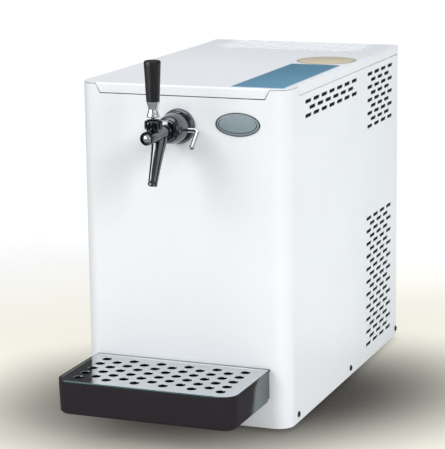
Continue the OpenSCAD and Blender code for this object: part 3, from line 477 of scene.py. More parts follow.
def fold(bm, line, out, outer, radius, steps=6, only=None):
    """Rolls the sheet past the line, across out, a quarter turn away from outer, where only allows it."""
    line, out, outer = Vector(line), Vector(out), Vector(outer)
    arc = radius * math.pi / 2
    for cut in [-BEND_MARGIN, *(arc * k / steps for k in range(steps + 1)), arc + BEND_MARGIN]:
        bmesh.ops.bisect_plane(bm, geom=bm.verts[:] + bm.edges[:] + bm.faces[:], dist=1e-7,
                               plane_co=line + out * cut, plane_no=out)
    for vert in bm.verts:
        beyond = (vert.co - line).dot(out)
        if beyond <= 0 or (only and not only(vert.co)):
            continue
        lift = (vert.co - line).dot(outer)
        rest = vert.co - out * beyond - outer * lift
        angle = min(beyond, arc) / radius
        onward = out * math.cos(angle) - outer * math.sin(angle)
        vert.co = (rest + out * (radius + lift) * math.sin(angle) + onward * max(beyond - arc, 0)
                   + outer * ((radius + lift) * math.cos(angle) - radius))


def stadium(x, y, length, width, steps=8):
    """The outline of a slot with round ends."""
    points = []
    for end in (1, -1):
        for k in range(steps + 1):
            angle = math.pi * (k / steps - 0.5)
            points.append((x + end * ((length - width) / 2 + width / 2 * math.cos(angle)),
                           y + end * width / 2 * math.sin(angle)))
    return points


def circle(x, y, radius, steps=24):
    return [(x + radius * math.cos(angle), y + radius * math.sin(angle)) for angle in around(steps)]


def oblong(x, y, width, height, radius=1 * MM):
    """A rectangle about a centre with rounded corners."""
    corners = [(x + i * width / 2, y + j * height / 2) for i, j in ((-1, -1), (1, -1), (1, 1), (-1, 1))]
    return [tuple(point) for point in bend(corners, radius, 4, closed=True)]


print("sheet helpers ready")

# %% [markdown]
# Every piece ends the same way: parts are joined, shaded smooth with real corners kept sharp and put
# on the CAD body that carries them, and the CAD nodes that they replace are hidden. One function does
# it, so no piece can miss a step.

# %% Finishing a piece
def at(x, y, z):
    return Matrix.Translation((x, y, z))


def turned(degrees, axis):
    return Matrix.Rotation(math.radians(degrees), 4, axis)


def place(bm, *steps):
    """Moves a shape by one matrix after another."""
    for step in steps:
        bmesh.ops.transform(bm, matrix=step, verts=bm.verts)
    return bm


def as_mesh(bm, name):
    mesh = bpy.data.meshes.new(name)
    bm.to_mesh(mesh)
    bm.free()
    return mesh


def join(*parts):
    whole = bmesh.new()
    for part in parts:
        mesh = as_mesh(part, "part")
        whole.from_mesh(mesh)
        bpy.data.meshes.remove(mesh)
    return whole


def piece(name, bm, finish, body, slot, *nodes, smooth=32):
    """Shows a shape as one piece on a CAD body. Edges that turn more than smooth degrees stay sharp."""
    mesh = as_mesh(bm, name)
    mesh.materials.append(finish)
    mesh.polygons.foreach_set("use_smooth", [True] * len(mesh.polygons))
    mesh.set_sharp_from_angle(angle=math.radians(smooth))
    made = into_scene(name, mesh)
    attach(made, body)
    if nodes:
        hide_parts(*nodes)
    print(name, "has", len(mesh.polygons), "faces")


def cut_away(bm, *cutters):
    """Takes the cutters out of a closed shape, as a drill or a mill would."""
    work, *tools = [into_scene("cut", as_mesh(shape, "cut")) for shape in (bm, *cutters)]
    for tool in tools:
        step = work.modifiers.new("cut", "BOOLEAN")
        step.operation = "DIFFERENCE"
        step.solver = "EXACT"
        step.object = tool
    seen = work.evaluated_get(bpy.context.evaluated_depsgraph_get())
    result = bmesh.new()
    result.from_mesh(seen.data)
    for holder in (work, *tools):
        mesh = holder.data
        bpy.data.objects.remove(holder)
        bpy.data.meshes.remove(mesh)
    return result


print("finishing helpers ready")

# %% [markdown]
# The front and both sides are one sheet, wrapped round the two upright front corners. Vent slots
# are punched in staggered rows: the long field beside the bath, and two dense ones that let the
# compressor breathe. Every other row is one slot shorter and half a pitch along. Cutting the slots
# out of a finished box would take over two hundred booleans. A flat blank takes one filled curve.

# %% Cabinet wrap
SLOT_L, SLOT_W, SLOT_STEP, ROW_STEP = 28 * MM, 5.6 * MM, 36.6 * MM, 10.4 * MM
TOP_ROW_Z, LOW_ROW_Z, LOW_FIELD_ROWS = TOP - 28 * MM, PANEL_LOW + 26 * MM, 21
# A field is where its first slot starts, how high its top row is, its rows and its longest row.
SIDE_FIELDS = ((FRONT + 77 * MM, TOP_ROW_Z, 3, 7), (BACK - 171 * MM, TOP_ROW_Z, 9, 4),
               (BACK - 174 * MM, LOW_ROW_Z + (LOW_FIELD_ROWS - 1) * ROW_STEP, LOW_FIELD_ROWS, 4))
SCREW_HOLE, SCREW_Z = 2.1 * MM, PANEL_LOW + 12 * MM
FIRST_SCREW_Y, LAST_SCREW_Y = FRONT + 42 * MM, BACK - 6.5 * MM
SCREW_YS = [FIRST_SCREW_Y, (FIRST_SCREW_Y + LAST_SCREW_Y) / 2, LAST_SCREW_Y]
SKIRT_X, SIDE_SKIRT_Y, SKIRT_SLOPE = HALF_W - 34 * MM, FRONT + 52 * MM, 7 * MM
EASED = 0.4 * MM
UNDER_SKIRT = PANEL_TOP - EASED
TAP_X, TAP_Z = MIDDLE["tap_flange"].x, MIDDLE["tap_flange"].z
SHANK_HOLE = 11.1  # in millimetres, for the profiles
STAND_UP = turned(90, "X")


def slot_rows(first_x, first_y, rows, longest):
    for i in range(rows):
        for j in range(longest - i % 2):
            yield first_x + SLOT_L / 2 + (j + i % 2 / 2) * SLOT_STEP, first_y - i * ROW_STEP


def unrolled(y):
    """How far along the flat blank a point of the side lies from the middle of the front."""
    return HALF_W - CORNER_R + CORNER_R * math.pi / 2 + (y - FRONT - CORNER_R)


def both_halves(half):
    """The whole outline of a blank from its right half."""
    return half + [(-x, y) for x, y in reversed(half)]


lean = SKIRT_SLOPE * (CORNER_TOP - PANEL_TOP) / (CORNER_TOP - PANEL_TOP + 2 * SEAM)
half = [(SKIRT_X + SEAM, UNDER_SKIRT), (SKIRT_X + SEAM + lean + EASED, CORNER_TOP),
        (unrolled(SIDE_SKIRT_Y - SEAM - lean - EASED), CORNER_TOP),
        (unrolled(SIDE_SKIRT_Y - SEAM), UNDER_SKIRT),
        (unrolled(SIDE_END), UNDER_SKIRT), (unrolled(SIDE_END), PANEL_LOW)]
holes = [circle(TAP_X, TAP_Z, SHANK_HOLE * MM, 32)]
for side in (1, -1):
    for field in SIDE_FIELDS:
        holes += [stadium(side * unrolled(y), z, SLOT_L, SLOT_W) for y, z in slot_rows(*field)]
    holes += [circle(side * unrolled(y), SCREW_Z, SCREW_HOLE, 16) for y in SCREW_YS[:2]]
blank = place(cut_sheet(both_halves(half), holes, SHEET), STAND_UP, at(0, FRONT, 0))
for side in (1, -1):
    fold(blank, (side * (HALF_W - CORNER_R), FRONT, 0), (side, 0, 0), (0, -1, 0), CORNER_R, 14)
piece("cabinet_wrap", blank, white_enamel, "cabinet", "white_enamel",
      "front_panel", "left_side_panel", "right_side_panel", smooth=20)

# %% [markdown]
# Behind each field of side slots sits a black screen, a dark sheet that paints the shade inside the
# slots, so they look dark from outside. Its weave is two crossed sine waves in the shader, as fine as
# a mosquito net, because modelled threads would cost many faces that nobody can see.

# %% Dust screens
THREADS, SCREEN_T, SCREEN_GAP = 4200, 0.06 * MM, 0.02 * MM
SCREEN_MORE_Y, SCREEN_MORE_Z = 10 * MM, 14 * MM


def make_screen():
    material, where = start_finish("screen_black")
    _, y, z = where.axes()
    weave = 0.5 + 0.25 * (THREADS * y).sine() + 0.25 * (THREADS * z).sine()
    fluff = where.noise(60, 5).above(0.52, 0.80)
    shade = (0.5 * weave + 0.4 * fluff).mix(rgb(14, 14, 15), rgb(46, 45, 44))
    return dress(material, Base_Color=shade, Roughness=0.8, Specular_IOR_Level=0.2,
                 Normal=weave.bump(0.1 * MM))


def onto_side(side, depth):
    """Stands a flat sheet, drawn along Y and Z, inside a side, a depth under its outer face."""
    return Matrix(((0, 0, side, side * (HALF_W - depth)), (1, 0, 0, 0), (0, 1, 0, 0), (0, 0, 0, 1)))


screens = []
for side in (1, -1):
    for start, high_z, rows, longest in SIDE_FIELDS:
        length, height = (longest - 1) * SLOT_STEP + SLOT_L, (rows - 1) * ROW_STEP
        net = oblong(start + length / 2, high_z - height / 2, length + SCREEN_MORE_Y,
                     height + SCREEN_MORE_Z, 3 * MM)
        screens.append(place(cut_sheet(net, [], SCREEN_T, 0.01 * MM), onto_side(side, SHEET + SCREEN_GAP)))
# The screens are painted shade: dark sheets where the slots would show the cabinet's shadowed inside.
piece("slot_shade_screens", join(*screens), make_screen(), "cabinet", "black_matte")

# %% [markdown]
# The lid is one blank too. Its skirts fold down on a tight radius at the front, the sides and the
# back, but stop short of the round front corners, where a slanted end and a slit leave the corner
# flat. The rear vent field is punched through the top, and the rear edge of each slot is turned up
# into a low lip, which shows as a pale dash from the front.

# %% Lid
LID_BEND, SLIT, SKIRT_SHORT = 2.5 * MM, 0.6 * MM, 0.2 * MM
SKIRT_DROP = TOP - SKIRT_LOW - SKIRT_SHORT
BEND_FLAT = LID_BEND * (math.pi / 2 - 2)
SKIRT_END, SIDE_START = SKIRT_X + SKIRT_SLOPE, SIDE_SKIRT_Y - SKIRT_SLOPE
REAR_X, REAR_Y = HALF_W - SHEET - 0.4 * MM, BACK - SKIRT_SHORT
REAR_ROW_Y, VENT_ROWS, VENTS_ACROSS = BACK - 20 * MM, 10, 7
LIP_R = 1.3 * MM
# A lip's stops are how far along the slot they lie and how thick it is there.
LIP = [(-12 * MM, 0.4 * MM), (-10.5 * MM, LIP_R), (10.5 * MM, LIP_R), (12 * MM, 0.4 * MM)]


def past(edge, drop, sign=1):
    """Where on the blank a point lies that ends up a drop below the top on a folded skirt."""
    return edge + sign * (BEND_FLAT + drop)


slant = SKIRT_SLOPE * (SKIRT_DROP - LID_BEND) / (SKIRT_DROP - SHEET)
corner = []
for k in range(13):
    angle = math.radians(-90 + 7.5 * k)
    corner.append((HALF_W + CORNER_R * (math.cos(angle) - 1), FRONT + CORNER_R * (math.sin(angle) + 1)))
half = [(SKIRT_X, past(FRONT, SKIRT_DROP, -1)), (SKIRT_X + slant, past(FRONT, LID_BEND, -1)),
        (SKIRT_END, FRONT + LID_BEND), (SKIRT_END + SLIT, FRONT + LID_BEND), (SKIRT_END + SLIT, FRONT),
        *corner,
        (HALF_W, SIDE_START - SLIT), (HALF_W - LID_BEND, SIDE_START - SLIT), (HALF_W - LID_BEND, SIDE_START),
        (past(HALF_W, LID_BEND), SIDE_SKIRT_Y - slant), (past(HALF_W, SKIRT_DROP), SIDE_SKIRT_Y),
        (past(HALF_W, SKIRT_DROP), REAR_Y), (past(HALF_W, LID_BEND), REAR_Y),
        (HALF_W - LID_BEND, BACK - LID_BEND), (REAR_X, past(BACK, LID_BEND)),
        (REAR_X, past(BACK, SKIRT_DROP))]
vents = list(slot_rows(-SLOT_L / 2 - (VENTS_ACROSS - 1) / 2 * SLOT_STEP, REAR_ROW_Y, VENT_ROWS, VENTS_ACROSS))
holes = [stadium(x, y, SLOT_L, SLOT_W) for x, y in vents]
blank = place(cut_sheet(both_halves(half), holes, SHEET), at(0, 0, TOP))
for side in (1, -1):
    fold(blank, (side * (HALF_W - LID_BEND), 0, TOP), (side, 0, 0), (0, 0, 1), LID_BEND, 5,
         only=lambda p: p.y > SIDE_START - SLIT / 2 and (p.y < BACK - LID_BEND or abs(p.x) > HALF_W))
fold(blank, (0, BACK - LID_BEND, TOP), (0, 1, 0), (0, 0, 1), LID_BEND, 5,
     only=lambda p: abs(p.x) < HALF_W - SHEET or p.y > BACK)
fold(blank, (0, FRONT + LID_BEND, TOP), (0, -1, 0), (0, 0, 1), LID_BEND, 5,
     only=lambda p: abs(p.x) < SKIRT_END + SLIT / 2)
lips = [sweep([(x + along, y + SLOT_W / 2 + LIP_R, TOP) for along, _ in LIP], [thick for _, thick in LIP], 12)
        for x, y in vents]
piece("lid", join(blank, *lips), white_enamel, "lid", "white_enamel", "top_cover", smooth=20)

# %% [markdown]
# A thin strip lines the seam under the lid from the inside. It is black along the front, painted
# shade that makes the seam show as one clean dark line, and white along the sides, painted light
# that hides the seam's shade there. It is cut flat like the sheets, because it only has to close the
# view into the seam.

# %% Seam tape
TAPE, TAPE_T, TAPE_GAP, TAPE_EDGE = 3.2 * MM, 0.5 * MM, 0.1 * MM, 0.05 * MM


def tape(start, end, sign=1):
    """A bent strip along the seam, from its low run up the slanted end of the skirt."""
    low, middle, high = PANEL_TOP - TAPE, SKIRT_LOW + TAPE, TOP - SHEET - 2 * MM
    rise = SKIRT_SLOPE / (TOP - SHEET - SKIRT_LOW) * (high - low)
    return [(start, low), (end + sign * TAPE, low), (end + sign * (TAPE + rise), high),
            (end + sign * (rise - TAPE), high), (end - sign * TAPE, middle), (start, middle)]


strip = cut_sheet(both_halves(tape(0, SKIRT_X)[1:5]), [], TAPE_T, TAPE_EDGE)
strip = place(strip, STAND_UP, at(0, FRONT + SHEET + TAPE_GAP, 0))
# The black front strip is painted shade: it darkens the seam into one line.
piece("seam_shade_strip_front", strip, rubber, "cabinet", "rubber_black")
# The white side strips are painted light: they keep the seam's shade from showing.
strips = []
for side in (1, -1):
    strip = cut_sheet(tape(BACK_SEAM - 2 * MM, SIDE_SKIRT_Y, -1), [], TAPE_T, TAPE_EDGE)
    strips.append(place(strip, onto_side(side, SHEET + TAPE_GAP)))
piece("seam_light_strip_sides", join(*strips), liner_white, "cabinet", "liner_plastic")

# %% [markdown]
# The back cover is a shallow folded pan. It carries the thermostat, the switch, the power inlet
# and the beer inlet, so its blank is cut for each of them. The blank is drawn as seen from behind,
# where X runs the other way, and is folded with the same tool as the lid.

# %% Back cover
KNOB, INLET = MIDDLE["thermostat_knob"], MIDDLE["beer_inlet"]
SWITCH, SOCKET = MIDDLE["switch_housing"], MIDDLE["power_inlet"]
KNOB_HOLE, INLET_HOLE = 3.5 * MM, 6.85 * MM
SWITCH_HOLE, SOCKET_HOLE = (22.2 * MM, 30.2 * MM), (46.2 * MM, 26.2 * MM)
BACK_SCREW_X = HALF_W - 5.6 * MM
BACK_SCREW_ZS = (PANEL_LOW + 16 * MM, PANEL_TOP - 16 * MM)
FROM_BEHIND = Matrix(((-1, 0, 0, 0), (0, 0, 1, BACK), (0, 1, 0, 0), (0, 0, 0, 1)))

reach = past(HALF_W, BACK - BACK_SEAM)
outline = [(-reach, PANEL_LOW), (reach, PANEL_LOW), (reach, UNDER_SKIRT), (-reach, UNDER_SKIRT)]
holes = [circle(-KNOB.x, KNOB.z, KNOB_HOLE), circle(-INLET.x, INLET.z, INLET_HOLE),
         oblong(-SWITCH.x, SWITCH.z, *SWITCH_HOLE), oblong(-SOCKET.x, SOCKET.z, *SOCKET_HOLE)]
holes += [circle(x, z, SCREW_HOLE, 16) for x in (-BACK_SCREW_X, BACK_SCREW_X) for z in BACK_SCREW_ZS]
holes += [circle(side * past(HALF_W, BACK - LAST_SCREW_Y), SCREW_Z, SCREW_HOLE, 16) for side in (1, -1)]
blank = place(cut_sheet(outline, holes, SHEET), FROM_BEHIND)
for side in (1, -1):
    fold(blank, (side * (HALF_W - LID_BEND), BACK, 0), (side, 0, 0), (0, 1, 0), LID_BEND, 5)
piece("back_cover", blank, white_enamel, "cabinet", "white_enamel", "back_panel", smooth=20)

# %% [markdown]
# The drip tray is a deep moulding: its walls lean in towards the bottom, its rim is rounded over,
# and a ledge inside carries the grille. One profile of the wall, drawn as inset and height and
# rounded at each corner, is carried round the tray's plan, so all the edges are eased alike.

# %% Drip tray
TRAY_LOW, TRAY_HIGH = LOW["drip_tray"], HIGH["drip_tray"]
TRAY_BACK, TRAY_R, TRAY_REAR_R = FRONT - 5.6 * MM, 20 * MM, 2.5 * MM
WELL_Z, RIM_Z = TRAY_LOW.z + 3 * MM, TRAY_HIGH.z
GRILLE_Z = HIGH["drip_grille"].z
LEDGE_Z = GRILLE_Z - 2.3 * MM
# Behind the wall a lip and two cheeks reach to the front panel, and a tongue drops into its rail.
LIP_T, CHEEK_T, SUNK, LIP_END = 4 * MM, 3 * MM, 1 * MM, FRONT - 0.4 * MM
CHEEK_INSET, TONGUE_HALF, TONGUE_LOW = 1.5 * MM, 60 * MM, LOW["tray_rail"].z + 15.8 * MM


def tray_ring(inset, z, back_inset, steps=12):
    """The tray's plan at one height, drawn in by an inset, with round front corners."""
    left, right_side = TRAY_LOW.x + inset, TRAY_HIGH.x - inset
    front, rear = TRAY_LOW.y + inset, TRAY_BACK - back_inset
    radius, small = max(TRAY_R - inset, 4 * MM), TRAY_REAR_R
    ring = []
    for x, y, r, first in ((left, front, radius, 180), (right_side, front, radius, 270),
                           (right_side, rear, small, 0), (left, rear, small, 90)):
        centre_x = x + (r if x == left else -r)
        centre_y = y + (r if y == front else -r)
        for k in range(steps + 1):
            angle = math.radians(first + 90 * k / steps)
            ring.append((centre_x + r * math.cos(angle), centre_y + r * math.sin(angle), z))
    return ring


outside = bend([(9 * MM, TRAY_LOW.z), (4.5 * MM, TRAY_LOW.z), (1.5 * MM, TRAY_LOW.z + 3 * MM),
                (0, RIM_Z - 8 * MM), (0, RIM_Z), (3 * MM, RIM_Z)], 1.4 * MM)
inside = bend([(3 * MM, RIM_Z), (3.2 * MM, LEDGE_Z), (8 * MM, LEDGE_Z), (9.5 * MM, WELL_Z),
               (14 * MM, WELL_Z)], 3 * MM)
rings = [tray_ring(inset, z, 0 if z < RIM_Z - 2 * MM else min(inset, 1.5 * MM)) for inset, z in outside]
rings += [tray_ring(inset, z, inset) for inset, z in inside]
under_lip = RIM_Z - LIP_T + SUNK
lip = block((TRAY_LOW.x, TRAY_BACK - SUNK, RIM_Z - LIP_T), (TRAY_HIGH.x, LIP_END, RIM_Z), 0.8 * MM, 3)
cheeks = [block((x, TRAY_BACK - SUNK, TRAY_LOW.z + 6 * MM), (x + CHEEK_T, LIP_END, under_lip), 0.6 * MM)
          for x in (TRAY_LOW.x + CHEEK_INSET, TRAY_HIGH.x - CHEEK_INSET - CHEEK_T)]
tongue = block((TAP_X - TONGUE_HALF, FRONT - 3.1 * MM, TONGUE_LOW),
               (TAP_X + TONGUE_HALF, FRONT - 0.5 * MM, under_lip), 0.5 * MM)
tray = join(skin(rings), lip, *cheeks, tongue)
piece("tray_moulding", tray, tray_black, "tray", "black_gloss", "drip_tray")

# %% [markdown]
# The grille is stamped from polished sheet. Rows of six and five round holes alternate, and the
# punch leaves each hole's rim slightly rolled. A thin border of the same steel lies over the tray's
# rim, so the polish runs out to the edge.

# %% Drip grille
GRILLE_T, GRILLE_INSET, GRILLE_EDGE = 2 * MM, 3.5 * MM, 0.3 * MM
HOLE_R, HOLE_STEP, HOLE_ROW, HOLE_ROWS, HOLES_ACROSS = 7 * MM, 43.4 * MM, 12.2 * MM, 9, 6
# The border's section is a closed loop of inset from the tray's plan and height over its rim.
BORDER = mm((0.3, 0.08), (0.2, 0.19), (0.35, 0.3), (4.2, 0.3), (4.4, 0.1), (4.4, -0.3), (3.8, -0.3),
            (3.6, 0.08))
plan = [(x, y) for x, y, _ in tray_ring(GRILLE_INSET, 0, GRILLE_INSET)]
middle_y = (TRAY_LOW.y + TRAY_BACK) / 2
holes = []
for i in range(HOLE_ROWS):
    count = HOLES_ACROSS - i % 2
    row_y = middle_y + ((HOLE_ROWS - 1) / 2 - i) * HOLE_ROW
    holes += [circle(TAP_X + (j - (count - 1) / 2) * HOLE_STEP, row_y, HOLE_R, 40) for j in range(count)]
blank = place(cut_sheet(plan, holes, GRILLE_T, GRILLE_EDGE), at(0, 0, GRILLE_Z))
border = skin([tray_ring(inset, RIM_Z + rise, inset) for inset, rise in BORDER], loop=True)
piece("grille_plate", join(blank, border), grille_steel, "grille", "grille_steel", "drip_grille", smooth=20)

# %% [markdown]
# Nearly all of the tap comes off a lathe. Its parts are turned about the tap's axis, which runs
# straight out of the front panel, or about the lever's upright axis. The bell and the body are
# bored out, because the valve's parts slide inside them. A boolean drills the cross holes, since
# a turned profile can't have any.

# %% Tap: flange, bell and body
LEVER_AT, SPOUT_AT, SPOUT_LEAN = 90 * MM, 66 * MM, 65
BODY_R, SPOUT_BORE, WELL_R = 9.5, 4.5, 7.2  # in millimetres, for the profiles
FLOW_AT, FLOW_H, FLOW_HOLE = 18 * MM, -2 * MM, 3.45 * MM
TO_TAP = (STAND_UP, at(TAP_X, FRONT, TAP_Z))
TO_LEVER = at(TAP_X, FRONT - LEVER_AT, TAP_Z)
TO_SPOUT = (turned(SPOUT_LEAN, "X"), at(0, 0, SPOUT_AT))
ALONG_Y = turned(-90, "X")


def quarter(r0, z0, r1, z1, steps=10):
    """Points of a quarter ellipse that leaves (r0, z0) along the axis and ends at (r1, z1)."""
    angles = [math.pi / 2 * k / steps for k in range(steps + 1)]
    return [(r1 + (r0 - r1) * math.cos(angle), z0 + (z1 - z0) * math.sin(angle)) for angle in angles]


def tap_piece(name, bm, finish, *nodes):
    """A fixed part of the tap, drawn with Z out of the front panel."""
    piece(name, place(bm, *TO_TAP), finish, "cabinet", "chrome_plate", *nodes)


profile = mm((SHANK_HOLE, 0), (25.2, 0), (25.5, 0.3), (25.5, 1.6), *quarter(25.4, 1.9, 20.2, 8.4),
             (19.8, 9), (SHANK_HOLE, 9))
tap_piece("tap_escutcheon", lathe(profile, loop=True, steps=96), chrome_painted_shade, "tap_flange")

profile = mm((SHANK_HOLE, 9), (20.4, 9), (21, 9.4), (21.5, 10.4), (21.5, 22), *quarter(21.5, 22, 15, 45, 14),
             (14.2, 46.3), (12.4, 47), (8.1, 47), (8.1, 42), (17, 24), (17, 14), (SHANK_HOLE, 14))
shaft_hole = sweep([(0, FLOW_H, FLOW_AT), (40 * MM, FLOW_H, FLOW_AT)], FLOW_HOLE, 32)
bell = cut_away(lathe(profile, loop=True, steps=96), shaft_hole)
tap_piece("tap_bell_turned", bell, chrome_painted_shade, "tap_bell")

profile = mm((8, 42), (8, 47), (9.1, 47), (BODY_R, 47.4), (BODY_R, 50.6), (8.9, 51.2), (8.9, 52),
             (BODY_R, 52.6), (BODY_R, 109.6), (9.1, 110), (5.2, 110), (5.2, 42))
well = sweep([(0, 2 * MM, LEVER_AT), (0, 20 * MM, LEVER_AT)], WELL_R * MM, 48)
outlet = place(sweep(mm((0, 0, 0), (0, 0, 20)), SPOUT_BORE * MM, 32), *TO_SPOUT)
barrel = cut_away(lathe(profile, loop=True, steps=96), well, outlet)
boss = lathe(mm((WELL_R, 6.5), (WELL_R, 18), (9.4, 18), (10, 17.4), (10, 6.5)), loop=True, steps=64)
tap_piece("tap_barrel", join(barrel, place(boss, ALONG_Y, at(0, 0, LEVER_AT))), chrome_painted_shade, "tap_body")

# %% [markdown]
# The end cap shows a dark groove between its rim and a domed centre, as in the photograph. The
# spout leans forward at 25 degrees and thins towards its tip, with a rolled lip round the bore. A
# wide drill along the body's axis trims its root, so that the two meet without a gap.

# %% Tap: end cap and spout
DOME_R, DOME_BALL, DOME_TOP, DOME_HALF = 6.7, 8.75, 116.4, math.radians(50)

profile = mm((0, 113.6), (7.4, 113.6), (7.7, 114.4), (7.9, 116.2), (8.6, 116.5), (9.2, 116.1),
             (BODY_R, 115.2), (BODY_R, 110.4), (9.1, 110), (5.1, 110), (5.1, 105), (0, 105))
# The cap takes the deep painted-shade chrome and its face the painted-light chrome, so the groove between
# them reads dark.
tap_piece("tap_cap", lathe(profile, steps=64), chrome_painted_deep_shade, "tap_end_cap")
angles = [DOME_HALF * k / 10 for k in range(11)]
dome = [(DOME_R * math.sin(angle) / math.sin(DOME_HALF), DOME_TOP - DOME_BALL * (1 - math.cos(angle)))
        for angle in angles]
profile = mm(*dome, (DOME_R, 113.2), (0, 113.2))
tap_piece("tap_cap_face", lathe(profile, steps=64), chrome_painted_light)

profile = mm((SPOUT_BORE, 5.5), (10.6, 5.5), (10.8, 10), (10.4, 16), (9.6, 24), (8.8, 32), (8.0, 44),
             (7.3, 58), (6.8, 68), (6.5, 71), (6.6, 72.4), (6.9, 73.4), (6.9, 74.8), (6.5, 75.7), (5.6, 76),
             (4.8, 75.7), (SPOUT_BORE, 75))
nozzle = place(lathe(profile, loop=True, steps=64), *TO_SPOUT)
trim = sweep(mm((0, 0, 40), (0, 0, 120)), (BODY_R - 0.3) * MM, 64)
tap_piece("tap_nozzle", cut_away(nozzle, trim), chrome_painted_shade, "tap_spout")

# %% [markdown]
# The lever goes up through a dark scalloped collar nut. Twelve shallow flutes round the nut give
# fingers a grip, and the lathe makes them by changing its radius with the angle. Above it a waisted
# chrome ferrule holds a black handle that widens upwards.

# %% Tap: collar nut, ferrule and handle
FLUTES, FLUTE_DEEP, FLUTE_LOW, FLUTE_HIGH = 12, 0.9 * MM, 10.8 * MM, 20.6 * MM


def flutes(angle, height):
    inside_grip = FLUTE_LOW < height < FLUTE_HIGH
    return -FLUTE_DEEP * (0.5 + 0.5 * math.cos(FLUTES * angle)) ** 2 if inside_grip else 0


profile = mm((10.15, 9.8), (11.8, 9.8), (12.4, 10.4), (12.6, 10.9), (12.6, 13), (12.6, 17), (12.6, 19.9),
             (12.4, 20.6), (11.7, 21.4), (10.3, 22.3), (8.8, 22.5), (8.2, 22), (8.2, 18.2), (10.15, 18.2))
collar = place(lathe(profile, loop=True, steps=144, lobes=flutes), TO_LEVER)
trim = place(sweep(mm((0, 0, 40), (0, 0, 130)), (BODY_R + 0.1) * MM, 64), *TO_TAP)
# The nut takes the deep painted-shade chrome, which makes it dark.
piece("collar_fluted", cut_away(collar, trim), chrome_painted_deep_shade, "cabinet", "chrome_plate", "collar_nut")

waist = [(9.2 - 2.2 * math.sin(math.pi * k / 16) ** 1.3, 28.5 + 18.5 * k / 16) for k in range(17)]
profile = mm((3.3, 31), (8.0, 26.4), (8.6, 26.4), (9.1, 26.9), (9.2, 27.5), *waist, (9.2, 47.6), (8.8, 48),
             (3.3, 48))
ferrule = place(lathe(profile, loop=True), TO_LEVER)
piece("ferrule_waisted", ferrule, chrome_painted_light, "tap_lever", "chrome_plate", "handle_ferrule")

profile = mm((3.3, 48), (8.9, 48), (9.3, 48.5), (9.9, 60), (10.7, 78), (11.5, 96), (11.8, 101), (11.6, 102.8),
             (10.9, 104.1), (9.4, 104.8), (6, 105), (0, 105))
handle = place(lathe(profile), TO_LEVER)
piece("handle_moulded", handle, handle_black, "tap_lever", "black_gloss", "tap_handle")

# %% [markdown]
# The flow lever is a bar that comes out of the bell's right side and turns down into a short leg
# with a ball tip. Its inner end is a crank with an off-centre pin that moves the flow cone.

# %% Tap: flow lever
LEG_L, LEG_LEAN, CRANK, BAR_START = 31 * MM, math.radians(42), 3 * MM, 8.3 * MM
BAR_R, BALL_R, PIN_R, WEB_R = 3.4 * MM, 3.9 * MM, 1.5 * MM, 4.8 * MM

elbow = Vector((36.5 * MM, FLOW_H, FLOW_AT))
tip = elbow + LEG_L * Vector((0, -math.sin(LEG_LEAN), math.cos(LEG_LEAN)))
bar = sweep(bend([(BAR_START, FLOW_H, FLOW_AT), elbow, tip], 5 * MM, 10), BAR_R, 24)
angles = [math.pi * k / 16 for k in range(17)]
ball = lathe([(BALL_R * math.sin(angle), -BALL_R * math.cos(angle)) for angle in angles], steps=32)
pin = sweep([(1.2 * MM, FLOW_H + CRANK, FLOW_AT), (BAR_START, FLOW_H + CRANK, FLOW_AT)], PIN_R, 16)
web = sweep([(BAR_START + side * 1.5 * MM, FLOW_H, FLOW_AT) for side in (-1, 1)], WEB_R, 32)
lever = place(join(bar, place(ball, at(*tip)), pin, web), *TO_TAP)
piece("flow_bar", lever, chrome, "flow_control", "chrome_plate", "flow_lever")

# %% [markdown]
# The two plates on the lid are bare: a printed blue sheet and a tan disc, each with slow colour drift,
# painted shade that darkens it towards the rear, and a thin margin of another tone. The margin is
# drawn in the shader from the plate's own box, because a print lies flat and has no step that a mesh
# could show.

# %% Plates on the lid
MARGIN_STEP, DISC_STEP = (1.6 * MM, 2.0 * MM), (2.5 * MM, 2.0 * MM)
PLATE_EDGE = 0.08 * MM


def inner_band(axis, low, high):
    """1 inside a printed margin along one axis."""
    outer, inner = MARGIN_STEP
    return axis.band((low + outer, low + inner), (high - inner, high - outer))


def printed(name, node, colour, drift_and_shade_colour, edge_colour, disc=False):
    """A printed sheet: its colour drifts slowly, painted shade darkens it towards the rear, and a thin margin
    runs round it.
    """
    material, where = start_finish(name)
    low, high, middle = LOW[node], HIGH[node], MIDDLE[node]
    x, y, _ = where.axes()
    fleck = where.noise(900, 4)
    drift = where.noise(11, 4)
    if disc:
        radius = (high.x - low.x) / 2
        from_middle = ((x - middle.x) ** 2 + (y - middle.y) ** 2) ** 0.5
        margin = from_middle.above(radius - DISC_STEP[0], radius - DISC_STEP[1])
    else:
        margin = 1 - inner_band(x, low.x, high.x) * inner_band(y, low.y, high.y)
    # The rear term is painted shade, like the enamel's.
    drift_and_rear_shade = 0.35 * drift + 0.15 * fleck + 0.5 * y.above(low.y, high.y)
    sheet = drift_and_rear_shade.mix(colour, drift_and_shade_colour)
    return dress(material, Base_Color=margin.mix(sheet, edge_colour), Roughness=0.44 + 0.16 * drift,
                 Normal=fleck.bump(0.01 * MM), Specular_IOR_Level=0.25)


